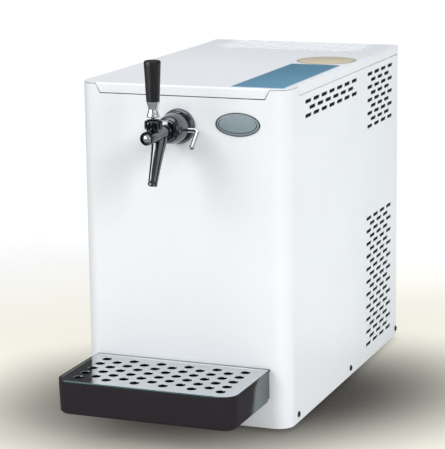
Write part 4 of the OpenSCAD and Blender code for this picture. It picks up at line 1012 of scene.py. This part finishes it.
blue_print = printed("blue_print", "info_plate", rgb(104, 152, 180), rgb(78, 122, 144), rgb(176, 196, 206))
tan_print = printed("tan_print", "round_plate", rgb(206, 192, 162), rgb(188, 182, 166), rgb(150, 146, 134),
                    disc=True)
size, middle = HIGH["info_plate"] - LOW["info_plate"], MIDDLE["info_plate"]
blue_plan = oblong(middle.x, middle.y, size.x, size.y, 3 * MM)
disc_size, middle = HIGH["round_plate"] - LOW["round_plate"], MIDDLE["round_plate"]
disc_plan = circle(middle.x, middle.y, disc_size.x / 2, 72)
plate = place(cut_sheet(blue_plan, [], size.z, PLATE_EDGE), at(0, 0, HIGH["info_plate"].z))
piece("plate_blue", plate, blue_print, "lid", "blue_label", "info_plate")
plate = place(cut_sheet(disc_plan, [], disc_size.z, PLATE_EDGE), at(0, 0, HIGH["round_plate"].z))
piece("plate_round", plate, tan_print, "lid", "tan_label", "round_plate")

# %% [markdown]
# The badge is a shallow oval dome with a thin dark rim and a dark line inside it, left blank. A dome
# of oval rings keeps its highlight moving as the camera does, which a flat oval wouldn't.

# %% Badge
BADGE = MIDDLE["badge"]
BADGE_A, BADGE_B = (HIGH["badge"] - LOW["badge"]).xz / 2
DOME_RINGS = 9


def oval(inset, rise):
    """A ring of the badge, drawn in from its edge and raised off the front, in millimetres."""
    half_w, half_h = BADGE_A - inset * MM, BADGE_B - inset * MM
    return [(BADGE.x + half_w * math.cos(angle), FRONT - rise * MM, BADGE.z + half_h * math.sin(angle))
            for angle in around(96)]


def ovals(*steps):
    return [oval(inset, rise) for inset, rise in steps]


rim = skin(ovals((0, 0), (0, 0.7), (0.2, 1.0), (0.7, 1.1), (1.2, 1.0), (1.4, 0.7), (1.4, 0)))
# The rim and the inner line take the deep painted-shade chrome, which makes them dark on the silver badge.
piece("badge_rim", rim, chrome_painted_deep_shade, "cabinet", "badge_silver")
swell = [(2 + 14 * k / (DOME_RINGS - 1), 0.95 + 0.65 * math.sin(math.pi / 2 * (k + 1) / DOME_RINGS))
         for k in range(DOME_RINGS)]
dome = skin(ovals((1.4, 0.5), (1.6, 0.8), *swell))
piece("badge_dome", dome, badge_silver, "cabinet", "badge_silver", "badge")
inlay = skin(ovals((4.3, 1), (4.3, 1.24), (5.3, 1.3), (5.3, 1)), loop=True)
piece("badge_line", inlay, chrome_painted_deep_shade, "cabinet", "badge_silver")

# %% [markdown]
# Small hardware repeats, so each kind is made once and copied. A case screw is a domed head with a
# milled cross, and a foot is a tapered rubber disc with a groove that lets it flex.

# %% Screws and feet
FOOT_R = 14
ALONG_X = turned(90, "Y")


def make_screw():
    head = lathe(mm((0, -9), (1.2, -9), (2, -8.2), (2, 0), (4.6, 0), (4.6, 0.4), (4.3, 1.1), (3.4, 1.8),
                    (1.8, 2.15), (0, 2.2)), steps=32)
    return cut_away(head, block(*mm((-2.3, -0.5, 1.0), (2.3, 0.5, 4)), 0.1 * MM),
                    block(*mm((-0.5, -2.3, 1.05), (0.5, 2.3, 4.1)), 0.1 * MM))


screw = make_screw()
heads = []
for y in SCREW_YS:
    # The right side shows, so each cross there stops at another angle.
    spun = Matrix.Rotation(0.5 + 9 * y, 4, "Z")
    heads.append(place(screw.copy(), spun, ALONG_X, at(HALF_W, y, SCREW_Z)))
    heads.append(place(screw.copy(), ALONG_X.inverted(), at(-HALF_W, y, SCREW_Z)))
piece("screws_case", join(*heads), screw_black, "cabinet", "black_steel", "case_screws")
heads = [place(screw.copy(), ALONG_Y, at(x, BACK, z))
         for x in (-BACK_SCREW_X, BACK_SCREW_X) for z in BACK_SCREW_ZS]
piece("screws_back", join(*heads), screw_black, "cabinet", "black_steel", "back_screws")

profile = mm((0, 0.6), (8, 0.6), (9, 0), (12, 0), (12.6, 0.5), (13.1, 2.2), (12.4, 2.7), (13.3, 3.2),
             (FOOT_R, 5.6), (13.7, 6), (0, 6))
low, high, radius = LOW["feet"], HIGH["feet"], FOOT_R * MM
feet = [place(lathe(profile, steps=48), at(x, y, 0)) for x in (low.x + radius, high.x - radius)
        for y in (low.y + radius, high.y - radius)]
piece("feet_rubber", join(*feet), rubber, "cabinet", "rubber_black", "feet")

# %% [markdown]
# Under the lid stands the bath. The copper evaporator is wound against its wall and grows ice, and
# the stainless beer coil is wound inside it. A coil is one long tube: down one riser, up round a
# helix and out by the other riser. Sweeping one path for all of it keeps the tube unbroken.

# %% Coils in the bath
BATH_Y, RISER_TOP, BEND_R = MIDDLE["tank_liner"].y, HIGH["beer_coil"].z, 10 * MM
EVAP_TUBE, BEER_TUBE = 4.75 * MM, 4 * MM
EVAP_R = (HIGH["evaporator_coil"].x - LOW["evaporator_coil"].x) / 2 - EVAP_TUBE
BEER_R = (HIGH["beer_coil"].x - LOW["beer_coil"].x) / 2 - BEER_TUBE
EVAP_RISER, BEER_RISER = EVAP_R * 0.79, BEER_R * 0.56


def coil(node, radius, tube, pitch, turns, riser, face, steps=40):
    """Face is 1 where the risers stand behind the helix and -1 where they stand in front of it."""
    low_z, y, riser = LOW[node].z + tube, BATH_Y + face * radius, face * riser
    high_z = low_z + pitch * turns
    path = bend([(riser, y, RISER_TOP), (riser, y, low_z), (face * BEND_R, y, low_z)], BEND_R)
    for k in range(turns * steps + 1):
        angle = face * math.pi / 2 + math.tau * k / steps
        path.append(Vector((radius * math.cos(angle), BATH_Y + radius * math.sin(angle),
                            low_z + pitch * k / steps)))
    path += bend([(-face * BEND_R, y, high_z), (-riser, y, high_z), (-riser, y, RISER_TOP)], BEND_R)
    return sweep(path, tube, 14)


evaporator = coil("evaporator_coil", EVAP_R, EVAP_TUBE, 30 * MM, 7, EVAP_RISER, face=1)
piece("evaporator_tube", evaporator, copper, "cabinet", "copper", "evaporator_coil")
beer_tube = coil("beer_coil", BEER_R, BEER_TUBE, 20 * MM, 8, BEER_RISER, face=-1)
piece("beer_tube", beer_tube, stainless, "cabinet", "stainless", "beer_coil")

# %% [markdown]
# Pipes are swept along the CAD's own routes. Each end takes its place from the box of the part it
# joins. The discharge pipe and the inlet hose have a small sleeve over both ends.

# %% Pipes and drier
FIT = 0.1 * MM
COND_LOW, COND_HIGH, COND_X = LOW["condenser"], HIGH["condenser"], MIDDLE["condenser"].x
CAN_LOW, CAN_HIGH, CAN = LOW["compressor"], HIGH["compressor"], MIDDLE["compressor"]
CAN_R, CAN_H = 60 * MM, 140 * MM
LIQUID_Y, DISCHARGE_Y = COND_LOW.y + 12 * MM, COND_HIGH.y - 30 * MM
DISCHARGE_X, DISCHARGE_Z = CAN.x + 30 * MM, COND_HIGH.z + 28 * MM
LIQUID_Z, PIPE_Z = COND_HIGH.z + 16 * MM, HIGH["suction_pipe"].z - 4 * MM
SUCTION_Y, SUCTION_Z = CAN.y - 72 * MM, CAN_HIGH.z - CAN_H + 84 * MM
EVAP_Y, BEER_Y = BATH_Y + EVAP_R, BATH_Y - BEER_R
RISER_END = RISER_TOP + FIT
PIPE_R, CAPILLARY_R = 4 * MM, 1.6 * MM
# A sleeve's stops are how far in from the end they lie, in mm, and how much wider than the pipe it is.
SLEEVE = ((0, 1.0), (0.6, 1.25), (1.2, 1.3), (8, 1.3), (9, 1.2), (10, 1.02))


def pipe(name, points, radius, finish, slot, node, sleeves=False):
    parts = [sweep(bend(points, BEND_R, 10), radius, 20)]
    for end, inward in ((points[0], points[1]), (points[-1], points[-2])) if sleeves else ():
        end = Vector(end)
        way = (Vector(inward) - end).normalized()
        stops = [end + way * stop * MM for stop, _ in SLEEVE]
        parts.append(sweep(stops, [radius * wider for _, wider in SLEEVE], 20))
    piece(name, join(*parts), finish, "cabinet", slot, node)


pipe("pipe_discharge", [(DISCHARGE_X, CAN.y, CAN_HIGH.z + FIT), (DISCHARGE_X, CAN.y, DISCHARGE_Z),
                        (COND_X, DISCHARGE_Y, DISCHARGE_Z), (COND_X, DISCHARGE_Y, COND_HIGH.z + FIT)],
     PIPE_R, copper, "copper", "discharge_pipe", sleeves=True)
pipe("pipe_liquid", [(COND_X, LIQUID_Y, COND_HIGH.z + FIT), (COND_X, LIQUID_Y, LIQUID_Z),
                     (EVAP_RISER, LIQUID_Y, LIQUID_Z), (EVAP_RISER, LIQUID_Y, LOW["filter_drier"].z - FIT)],
     PIPE_R, copper, "copper", "liquid_pipe")
pipe("pipe_capillary", [(EVAP_RISER, LIQUID_Y, HIGH["filter_drier"].z + FIT), (EVAP_RISER, LIQUID_Y, PIPE_Z),
                        (EVAP_RISER, EVAP_Y, PIPE_Z), (EVAP_RISER, EVAP_Y, RISER_END)],
     CAPILLARY_R, copper, "copper", "capillary_pipe")
pipe("pipe_suction", [(-EVAP_RISER, EVAP_Y, RISER_END), (-EVAP_RISER, EVAP_Y, PIPE_Z),
                      (-EVAP_RISER, SUCTION_Y, PIPE_Z), (-EVAP_RISER, SUCTION_Y, SUCTION_Z),
                      (-EVAP_RISER, CAN.y - CAN_R, SUCTION_Z)],
     PIPE_R, copper, "copper", "suction_pipe")
pipe("hose_in", [(INLET.x, HIGH["beer_line_in"].y, INLET.z), (INLET.x, BEER_Y, INLET.z),
                 (INLET.x, BEER_Y, RISER_END)],
     PIPE_R, line_tube, "line_tube", "beer_line_in", sleeves=True)
pipe("hose_out", [(BEER_RISER, BEER_Y, RISER_END), (BEER_RISER, BEER_Y, TAP_Z), (TAP_X, BEER_Y, TAP_Z),
                  (TAP_X, LOW["beer_line_out"].y, TAP_Z)],
     PIPE_R, line_tube, "line_tube", "beer_line_out")

profile = bend(mm((0, 0), (4, 0), (4, 4), (10, 14), (10, 66), (3.6, 76), (3.6, 80), (0, 80)), 3 * MM)
drier = place(lathe(profile, steps=40), at(EVAP_RISER, LIQUID_Y, LOW["filter_drier"].z))
piece("drier_spun", drier, copper, "cabinet", "copper", "filter_drier")

# %% [markdown]
# The agitator keeps the bath moving. Its motor is a ribbed can on the bridge, and its propeller
# has three pitched blades that thin towards their tips. A blade is a skin over a few oval sections,
# each turned to its own pitch, so the twist comes out smooth.

# %% Agitator
RIBS, RIB_STEP, FIRST_RIB = 7, 4, 5.5
STIR_LOW = LOW["stir_impeller"].z
STIR_L = (HIGH["stir_impeller"].z - STIR_LOW) / MM

profile = mm((4.1, 0), (34.2, 0), (35, 0.8), (35, 4))
for k in range(RIBS):
    z = FIRST_RIB + RIB_STEP * k
    profile += mm((35, z), (33.4, z + 0.5), (33.4, z + 1.5), (35, z + 2))
profile += mm((35, 35), (34.4, 37), (31, 41), (27.6, 44.2), (26, 45), (12, 45), (11, 44), (10, 43.6),
              (0, 43.6), (0, 31), (4.1, 31))
motor = place(lathe(profile, loop=True), at(0, BATH_Y, LOW["stir_motor"].z))
piece("stir_motor_can", motor, housing_black, "cabinet", "black_matte", "stir_motor")


def blade(stations):
    """A twisted blade. Each station is reach, chord, pitch in degrees and thickness."""
    rings = []
    for reach, chord, pitch, thick in stations:
        pitched = turned(pitch, "X")
        ring = []
        for angle in around(20):
            camber = 0.06 * chord * math.sin(angle / 2) ** 2
            section = Vector((reach, chord / 2 * math.cos(angle), thick / 2 * math.sin(angle) + camber))
            ring.append(pitched @ section * MM)
        rings.append(ring)
    return skin(rings)


STIR_VANE = [(6, 12, 40, 2), (12, 13.6, 38, 2), (20, 14, 34, 1.8), (26, 12, 30, 1.4), (29.4, 7, 28, 0.9)]
shaft = lathe(mm((0, 0), (3.4, 0), (4, 0.6), (4, STIR_L - 0.6), (3.4, STIR_L), (0, STIR_L)), steps=40)
hub = lathe(bend(mm((0, 0), (8, 0), (8, 14), (0, 14)), 1.5 * MM), steps=40)
vanes = [place(blade(STIR_VANE), at(0, 0, 7 * MM), turned(120 * i, "Z")) for i in range(3)]
propeller = place(join(shaft, hub, *vanes), at(0, BATH_Y, STIR_LOW))
piece("stir_propeller", propeller, stainless, "agitator", "stainless", "stir_impeller")

# %% [markdown]
# The compressor's can is two pressed shells welded along a seam, on a pressed foot plate. A rounded
# profile on the lathe gives the shells their drawn shape, and a ring of its own is the weld.

# %% Compressor
PLATE_T, PLATE_DEEP, PLATE_R = 3 * MM, 108 * MM, 14 * MM
BOLT_X, BOLT_Y, BOLT_HOLE = 65 * MM, 44 * MM, 4.1 * MM
PLATE_TOP = CAN_LOW.z + PLATE_T

profile = bend(mm((0, 0), (44, 0), (59.9, 16), (59.9, 84), (58.2, 86), (58.2, 112), (42, 138), (18, 140),
                  (0, 140)), 12 * MM, 8)
weld = bend(mm((57, 82), (60, 82), (60, 87), (57, 87)), 1.2 * MM, 4, closed=True)
can = place(join(lathe(profile, steps=96), lathe(weld, loop=True, steps=96)), at(CAN.x, CAN.y, PLATE_TOP))
bolts = [circle(CAN.x + i * BOLT_X, CAN.y + j * BOLT_Y, BOLT_HOLE) for i in (-1, 1) for j in (-1, 1)]
plan = oblong(CAN.x, CAN.y, CAN_HIGH.x - CAN_LOW.x, PLATE_DEEP, PLATE_R)
plate = place(cut_sheet(plan, bolts, PLATE_T, 0.6 * MM), at(0, 0, PLATE_TOP))
piece("compressor_can", join(can, plate), can_black, "cabinet", "black_steel", "compressor")

# %% [markdown]
# The condenser is a stack of thin fins on a hairpin of tube, held between two end plates. The hairpin
# is one path that runs to and fro and down, with round turns outside the end plates.

# %% Condenser
FINS, FIN_HALF, END_PLATE_T = 36, 0.25 * MM, 1.5 * MM
HAIRPINS, HAIRPIN_R = 9, 11 * MM
# How far in from the condenser's box the turns, the end plates, the fins and the rows of tube lie.
TURN_IN, END_PLATE_IN, FINS_IN, ROWS_IN = 4.5 * MM, 8 * MM, 12 * MM, 16 * MM

parts = []
for y in (COND_LOW.y + END_PLATE_IN, COND_HIGH.y - END_PLATE_IN - END_PLATE_T):
    parts.append(block((COND_LOW.x, y, COND_LOW.z), (COND_HIGH.x, y + END_PLATE_T, COND_HIGH.z), 0.3 * MM))
for k in range(FINS):
    y = COND_LOW.y + FINS_IN + (COND_HIGH.y - COND_LOW.y - 2 * FINS_IN) * k / (FINS - 1)
    parts.append(block((COND_LOW.x + 0.5 * MM, y - FIN_HALF, COND_LOW.z + 2 * MM),
                       (COND_HIGH.x - 0.5 * MM, y + FIN_HALF, COND_HIGH.z - 4 * MM), 0.1 * MM, 1))
path = [(COND_X, DISCHARGE_Y, COND_HIGH.z)]
ends = (COND_HIGH.y - TURN_IN, COND_LOW.y + TURN_IN)
for k in range(HAIRPINS):
    z = COND_HIGH.z - ROWS_IN - (COND_HIGH.z - COND_LOW.z - 2 * ROWS_IN) * k / (HAIRPINS - 1)
    first, last = ends if k % 2 == 0 else ends[::-1]
    path += [(COND_X, DISCHARGE_Y if k == 0 else first, z), (COND_X, last, z)]
parts.append(sweep(bend(path, HAIRPIN_R, 8), PIPE_R, 14))
parts.append(sweep([(COND_X, LIQUID_Y, COND_HIGH.z - 20 * MM), (COND_X, LIQUID_Y, COND_HIGH.z)], PIPE_R, 14))
piece("condenser_fins", join(*parts), fin_metal, "cabinet", "fin_aluminium", "condenser")

# %% [markdown]
# The fan sits behind its shroud on a small ribbed motor. Five blades are twisted from a steep root
# to a flat tip, as a pressed fan's are, with the same helper as the agitator's.

# %% Fan
FAN_BACK, FAN_FRONT = LOW["fan_blade"].x, HIGH["fan_blade"].x
FAN_Y, FAN_Z = MIDDLE["fan_blade"].y, LOW["fan_motor"].z + 30 * MM
FAN_MID, HUB_L = FAN_FRONT - 8 * MM, 37
FAN_VANE = [(15, 24, 33, 1.6), (26, 28, 30, 1.6), (40, 32, 27, 1.5), (54, 34, 24, 1.4), (63, 31, 22, 1.3),
            (67, 20, 21, 1.1)]

scale = (FAN_FRONT - FAN_BACK) / (HUB_L * MM)
profile = mm((0, 0), (2.6, 0), (3, 0.5), (3, 21), (17, 21), (18, 22), (18, 34), (17.4, 35.4), (15, 36.4),
             (6, HUB_L), (0, HUB_L))
hub = lathe([(r, z * scale) for r, z in profile], steps=48)
parts = [place(hub, ALONG_X, at(FAN_BACK, FAN_Y, FAN_Z))]
for i in range(5):
    parts.append(place(blade(FAN_VANE), turned(72 * i, "Z"), ALONG_X, at(FAN_MID, FAN_Y, FAN_Z)))
piece("fan_pressed", join(*parts), fin_metal, "fan", "fin_aluminium", "fan_blade")

profile = mm((0, 8), (0, 0), (28, 0), (29.4, 0.6), (30, 2), (30, 6), (28.8, 6.5), (28.8, 8.5), (30, 9),
             (30, 12), (28.8, 12.5), (28.8, 14.5), (30, 15), (30, 20), (29.4, 22), (20, 26.5), (9, 28),
             (3.1, 28), (3.1, 8))
motor = place(lathe(profile, loop=True), ALONG_X, at(LOW["fan_motor"].x, FAN_Y, FAN_Z))
piece("fan_motor_can", motor, housing_black, "cabinet", "black_matte", "fan_motor")

# %% [markdown]
# The fittings on the back are what a hand meets. First comes the thermostat's fluted knob, with a
# pointer that turns with it and a ring of tick marks that stays on the panel.

# %% Thermostat knob
KNOB_LOW = BACK + 0.5 * MM
KNOB_FLUTES, KNOB_FLUTE_DEEP, GRIP_LOW, GRIP_HIGH = 18, 0.7 * MM, 1.6 * MM, 12.4 * MM
SHAFT_LOW = LOW["thermostat_knob"].y
TICKS, TICK_STEP, FIRST_TICK, LONG_EVERY = 11, 27, -135, 5


def knob_flutes(angle, height):
    inside_grip = GRIP_LOW < height < GRIP_HIGH
    return -KNOB_FLUTE_DEEP * (0.5 + 0.5 * math.cos(KNOB_FLUTES * angle)) ** 3 if inside_grip else 0


profile = mm((0, 0), (15.4, 0), (16, 0.6), (15.9, 1.5), (15.7, 2.5), (15.2, 6), (14.6, 10), (14.3, 12.3),
             (13.8, 13.4), (12.6, 14), (4, 13.6), (0, 13.6))
grip = place(lathe(profile, steps=180, lobes=knob_flutes), ALONG_Y, at(KNOB.x, KNOB_LOW, KNOB.z))
shaft = sweep([(KNOB.x, SHAFT_LOW, KNOB.z), (KNOB.x, KNOB_LOW + 2 * MM, KNOB.z)], 3 * MM, 24)
piece("knob_fluted", join(grip, shaft), housing_black, "knob", "black_matte", "thermostat_knob")
pointer = block(*mm((-0.8, 13.3, 3), (0.8, 14.0, 12.6)), 0.2 * MM)
pointer = place(pointer, at(KNOB.x, KNOB_LOW, KNOB.z))
piece("knob_pointer", pointer, mark_white, "knob", "line_tube")
ticks = []
for k in range(TICKS):
    tick = block(*mm((-0.5, -0.02, 18.5), (0.5, 0.12, 21 if k % LONG_EVERY else 22.5)), 0.05 * MM, 1)
    ticks.append(place(tick, turned(FIRST_TICK + TICK_STEP * k, "Y"), at(KNOB.x, BACK, KNOB.z)))
piece("dial_ticks", join(*ticks), housing_black, "cabinet", "black_matte")

# %% [markdown]
# The switch is a red rocker with a bar on one end and a ring on the other. Its dished side view is
# skinned across its width, a little smaller at both ends, so that its edges are eased.

# %% Rocker switch
TILT, PIVOT = turned(9, "X"), at(SWITCH.x, BACK - 4 * MM, SWITCH.z)
RING_R = 1.6

section = bend(mm((0, -5, -5), (0, -5, 5), (0, 4, 11), (0, 6, 10.8), (0, 4.5, 0), (0, 6, -10.8), (0, 4, -11)),
               1 * MM, 4, closed=True)
rings = [[Vector((x * MM, p.y * share, p.z * share)) for p in section]
         for x, share in ((-8, 0.94), (-7.6, 0.99), (-7, 1), (7, 1), (7.6, 0.99), (8, 0.94))]
pin = sweep(mm((-9.8, 0, 0), (9.8, 0, 0)), 1.5 * MM, 20)
tumbler = join(place(skin(rings), TILT, PIVOT), place(pin, PIVOT))
piece("rocker_tumbler", tumbler, rocker_red, "rocker", "red_rocker", "switch_rocker")
bar = block(*mm((-0.5, 5.35, 4), (0.5, 5.75, 8)), 0.1 * MM, 1)
angles = [math.tau * k / 24 for k in range(25)]
loop = mm(*((RING_R * math.cos(angle), 5.5, RING_R * math.sin(angle) - 6.4) for angle in angles))
marks = place(join(bar, sweep(loop, 0.3 * MM, 8)), TILT, PIVOT)
piece("rocker_marks", marks, mark_white, "rocker", "line_tube")

# %% [markdown]
# The beer inlet is a barbed stub with a nut on either side of the panel. The stub is turned with its
# barbs in the profile, and a nut is the same lathe with only six steps.

# %% Beer inlet
INLET_LOW = LOW["beer_inlet"].y
INLET_L, OUT, PANEL, NUT_H = (HIGH["beer_inlet"].y - INLET_LOW) / MM, (BACK - INLET_LOW) / MM, 1.5, 6
BARBS, BARB_STEP = 4, 5

profile = mm((3, 0), (6.4, 0), (6.75, 0.5), (6.75, OUT), (6.75, OUT + NUT_H), (4.75, OUT + NUT_H))
for k in range(BARBS):
    z = OUT + 8 + BARB_STEP * k
    profile += mm((4.1, z), (4.75, z + 3.6), (4.75, z + 4.1))
profile += mm((4.2, INLET_L - 1), (4.0, INLET_L - 0.3), (3.6, INLET_L), (3, INLET_L))
parts = [lathe(profile, loop=True, steps=40)]
for z in (OUT - PANEL - NUT_H, OUT):
    nut = mm((6.7, z), (9.6, z), (10.75, z + 0.9), (10.75, z + 5.1), (9.6, z + NUT_H), (6.7, z + NUT_H))
    parts.append(lathe(nut, loop=True, steps=6))
fitting = place(join(*parts), ALONG_Y, at(INLET.x, INLET_LOW, INLET.z))
piece("inlet_barbed", fitting, stainless, "cabinet", "stainless", "beer_inlet", smooth=25)

# %% [markdown]
# The power inlet is a moulding with a chamfered mouth, three pins and two small screws. One stack of
# rounded oblong rings goes in behind the panel, out over its flange and down into the mouth.

# %% Power inlet
# Each row is how far the ring stands out of the panel, its width, its height and its corner radius.
SOCKET_ROWS = mm((-25.5, 46, 26, 2), (0.02, 46, 26, 2), (0.02, 54, 32, 3), (2.3, 54, 32, 3),
                 (2.8, 53.6, 31.6, 3), (3, 52.8, 30.8, 3), (3, 28.6, 20.6, 3), (1.4, 25.4, 17.4, 2.2),
                 (-13.8, 25, 17, 2))
SOCKET_PINS = mm((-7, -2), (0, 3), (7, -2))
SOCKET_SCREW_X, SOCKET_FACE, SMALL = 20.5 * MM, 3 * MM, 0.65

rings = [[(x, BACK + y, z) for x, z in oblong(SOCKET.x, SOCKET.z, width, height, radius)]
         for y, width, height, radius in SOCKET_ROWS]
piece("socket_moulding", skin(rings), housing_black, "cabinet", "black_matte", "power_inlet", smooth=25)
pins = [place(block(*mm((-1, -15, -2), (1, -3, 2)), 0.4 * MM), at(SOCKET.x + x, BACK, SOCKET.z + z))
        for x, z in SOCKET_PINS]
piece("socket_pins", join(*pins), stainless, "cabinet", "stainless")
heads = [place(screw.copy(), Matrix.Scale(SMALL, 4), ALONG_Y, at(SOCKET.x + x, BACK + SOCKET_FACE, SOCKET.z))
         for x in (-SOCKET_SCREW_X, SOCKET_SCREW_X)]
piece("socket_screws", join(*heads), screw_black, "cabinet", "black_steel")

# %% [markdown]
# Some CAD nodes are plain folded or drilled parts already, so they keep their own shape and only
# take a finish. Whatever is hidden under another piece is dressed as well, for the open poses.

# %% Finishes for the CAD's own parts
CARRIED = {
    zinc: ("base_pan", "tray_rail", "stir_bridge", "fan_bracket"),
    chrome: ("tap_shank", "shank_nut", "lever_stem", "lever_pin"),
    stainless: ("valve_plunger", "flow_cone", "compressor_bolts"),
    rubber: ("shank_washer", "compressor_grommets"),
    housing_black: ("terminal_box", "fan_shroud", "thermostat", "switch_housing"),
    liner_white: ("tank_liner",),
    foam: ("tank_foam",),
}
for finish, nodes in CARRIED.items():
    for node in nodes:
        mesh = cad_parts[node].data
        mesh.materials.clear()
        mesh.materials.append(finish)
print("finished", sum(len(nodes) for nodes in CARRIED.values()), "CAD nodes")

# %% [markdown]
# The cooler stands on a wide sheet of pale paper. The camera sees half of the paper's tone by the
# lamps and half as a glow, so shadows stay soft, and a painted shadow, a dark oval halo in its
# colour, grounds the feet. Bounced light meets plain paper, and mirrors meet a grey one, painted
# shade for the reflections, with a painted pool of light at the right rear. A real shadow alone was
# either too hard or too faint for the broad light in the photograph.

# %% Floor
FLOOR_FRONT, FLOOR_BACK, FLOOR_HALF, FLOOR_T = -2.2, 9.0, 6.0, 0.01
HALO, HALO_LONG, HALO_WIDE, HALO_TURN = Vector((0.026, -0.066, 0)), 0.386, 0.281, 0.560


def make_floor():
    material, where = start_finish("floor_paper")
    x, y, _ = where.axes()
    turn_c, turn_s = math.cos(HALO_TURN), math.sin(HALO_TURN)
    along = (x - HALO.x) * turn_c + (y - HALO.y) * turn_s
    across = (y - HALO.y) * turn_c - (x - HALO.x) * turn_s
    ring = ((along / HALO_LONG) ** 2 + (across / HALO_WIDE) ** 2) ** 0.5
    fibre = where.noise(160, 4)
    far = ring.above(1.6, 4.0).mix(rgb(251, 248, 235), rgb(255, 255, 255))
    # The dark oval round the feet is a painted shadow.
    paper = ring.above(0.39, 1.48).mix(rgb(57, 54, 50), far)
    half_tone = (0.10 * fibre).mix(paper, rgb(206, 204, 198)).stretch(0.5, 0.5, 0.5)
    # For mirrors the paper is painted grey, as painted shade, with a painted pool of light at the right rear.
    painted_light_right_rear = x.above(0.17, 0.20) * y.above(0.14, 0.30)
    mirrored_shade_and_light = painted_light_right_rear.mix(rgb(92, 92, 94), rgb(226, 238, 236))
    glossy = where.node("ShaderNodeLightPath", None, "Is Glossy Ray")
    camera_ray = where.node("ShaderNodeLightPath", None, "Is Camera Ray")
    unseen = glossy.mix(rgb(222, 220, 214), mirrored_shade_and_light)
    return dress(material, Base_Color=camera_ray.mix(unseen, half_tone),
                 Emission_Color=camera_ray.mix((0, 0, 0, 1), half_tone), Emission_Strength=1.0, Roughness=0.9,
                 Specular_IOR_Level=0.1, Normal=fibre.bump(0.05 * MM))


corners = [(-FLOOR_HALF, FLOOR_FRONT), (FLOOR_HALF, FLOOR_FRONT), (FLOOR_HALF, FLOOR_BACK),
           (-FLOOR_HALF, FLOOR_BACK)]
floor_mesh = as_mesh(skin([[(x, y, z) for x, y in corners] for z in (0, -FLOOR_T)]), "floor")
floor_mesh.materials.append(make_floor())
into_scene("floor", floor_mesh)
print("floor of", 2 * FLOOR_HALF, "by", FLOOR_BACK - FLOOR_FRONT, "m")

# %% [markdown]
# Two soft lamps stand for the studio's big diffusers, a stronger one on the right and a weaker one on
# the left, and they stay out of the mirrors. What the chrome mirrors instead is a dark room with a
# wide bright panel on the left, a dim one on the right and a bright ceiling, so it reads as chrome.
# Dull surfaces take a plain sky that is brighter above, and the camera sees white behind it all.

# %% Lamps and sky
def sun(name, azimuth, elevation, strength, spread):
    """A soft lamp that shines from an azimuth, 0 in front and 90 on the right, and a height."""
    lamp = bpy.data.lights.new(name, "SUN")
    lamp.energy, lamp.angle = strength, math.radians(spread)
    azimuth, elevation = math.radians(azimuth), math.radians(elevation)
    toward = Vector((math.sin(azimuth) * math.cos(elevation), -math.cos(azimuth) * math.cos(elevation),
                     math.sin(elevation)))
    holder = into_scene(name, lamp)
    holder.rotation_euler = toward.to_track_quat("Z", "Y").to_euler()
    holder.visible_glossy = False


sun("key", 54, 27, 1.46, 22)
sun("fill", -38, 33, 0.98, 26)
world = bpy.data.worlds.new("studio")
world.use_nodes = True
bpy.context.scene.world = world
tree = world.node_tree
sky = Tone(tree, tree.nodes.new("ShaderNodeTexCoord").outputs["Generated"])
across, along, rise = sky.axes()
diffuse_sky = rise.above(0.08, 0.58).mix((0.06, 0.06, 0.065, 1), (0.84, 0.85, 0.88, 1))
in_front = 1 - along.above(-0.05, 0.05)
upright = rise.band((-0.12, -0.05), (0.38, 0.44))
left_panel = across.band((-0.92, -0.86), (-0.30, -0.22))
right_panel = across.above(0.50, 0.58)
panels = in_front * upright * (5.0 * left_panel + 0.7 * right_panel)
ceiling = 0.18 * rise.above(0.30, 0.50) + 1.5 * rise.above(0.82, 0.92)
room = 0.06 + ceiling + panels
glow = room.node("ShaderNodeCombineColor", None, 0, Red=room, Green=room, Blue=room)
mirrored = sky.node("ShaderNodeLightPath", None, "Is Glossy Ray")
seen = sky.node("ShaderNodeLightPath", None, "Is Camera Ray")
backdrop = seen.mix(mirrored.mix(diffuse_sky, glow), (1, 1, 1, 1))
feed(tree, tree.nodes["Background"], {"Color": backdrop, "Strength": 1.0})
print("two lamps and a sky of", len(tree.nodes), "nodes")
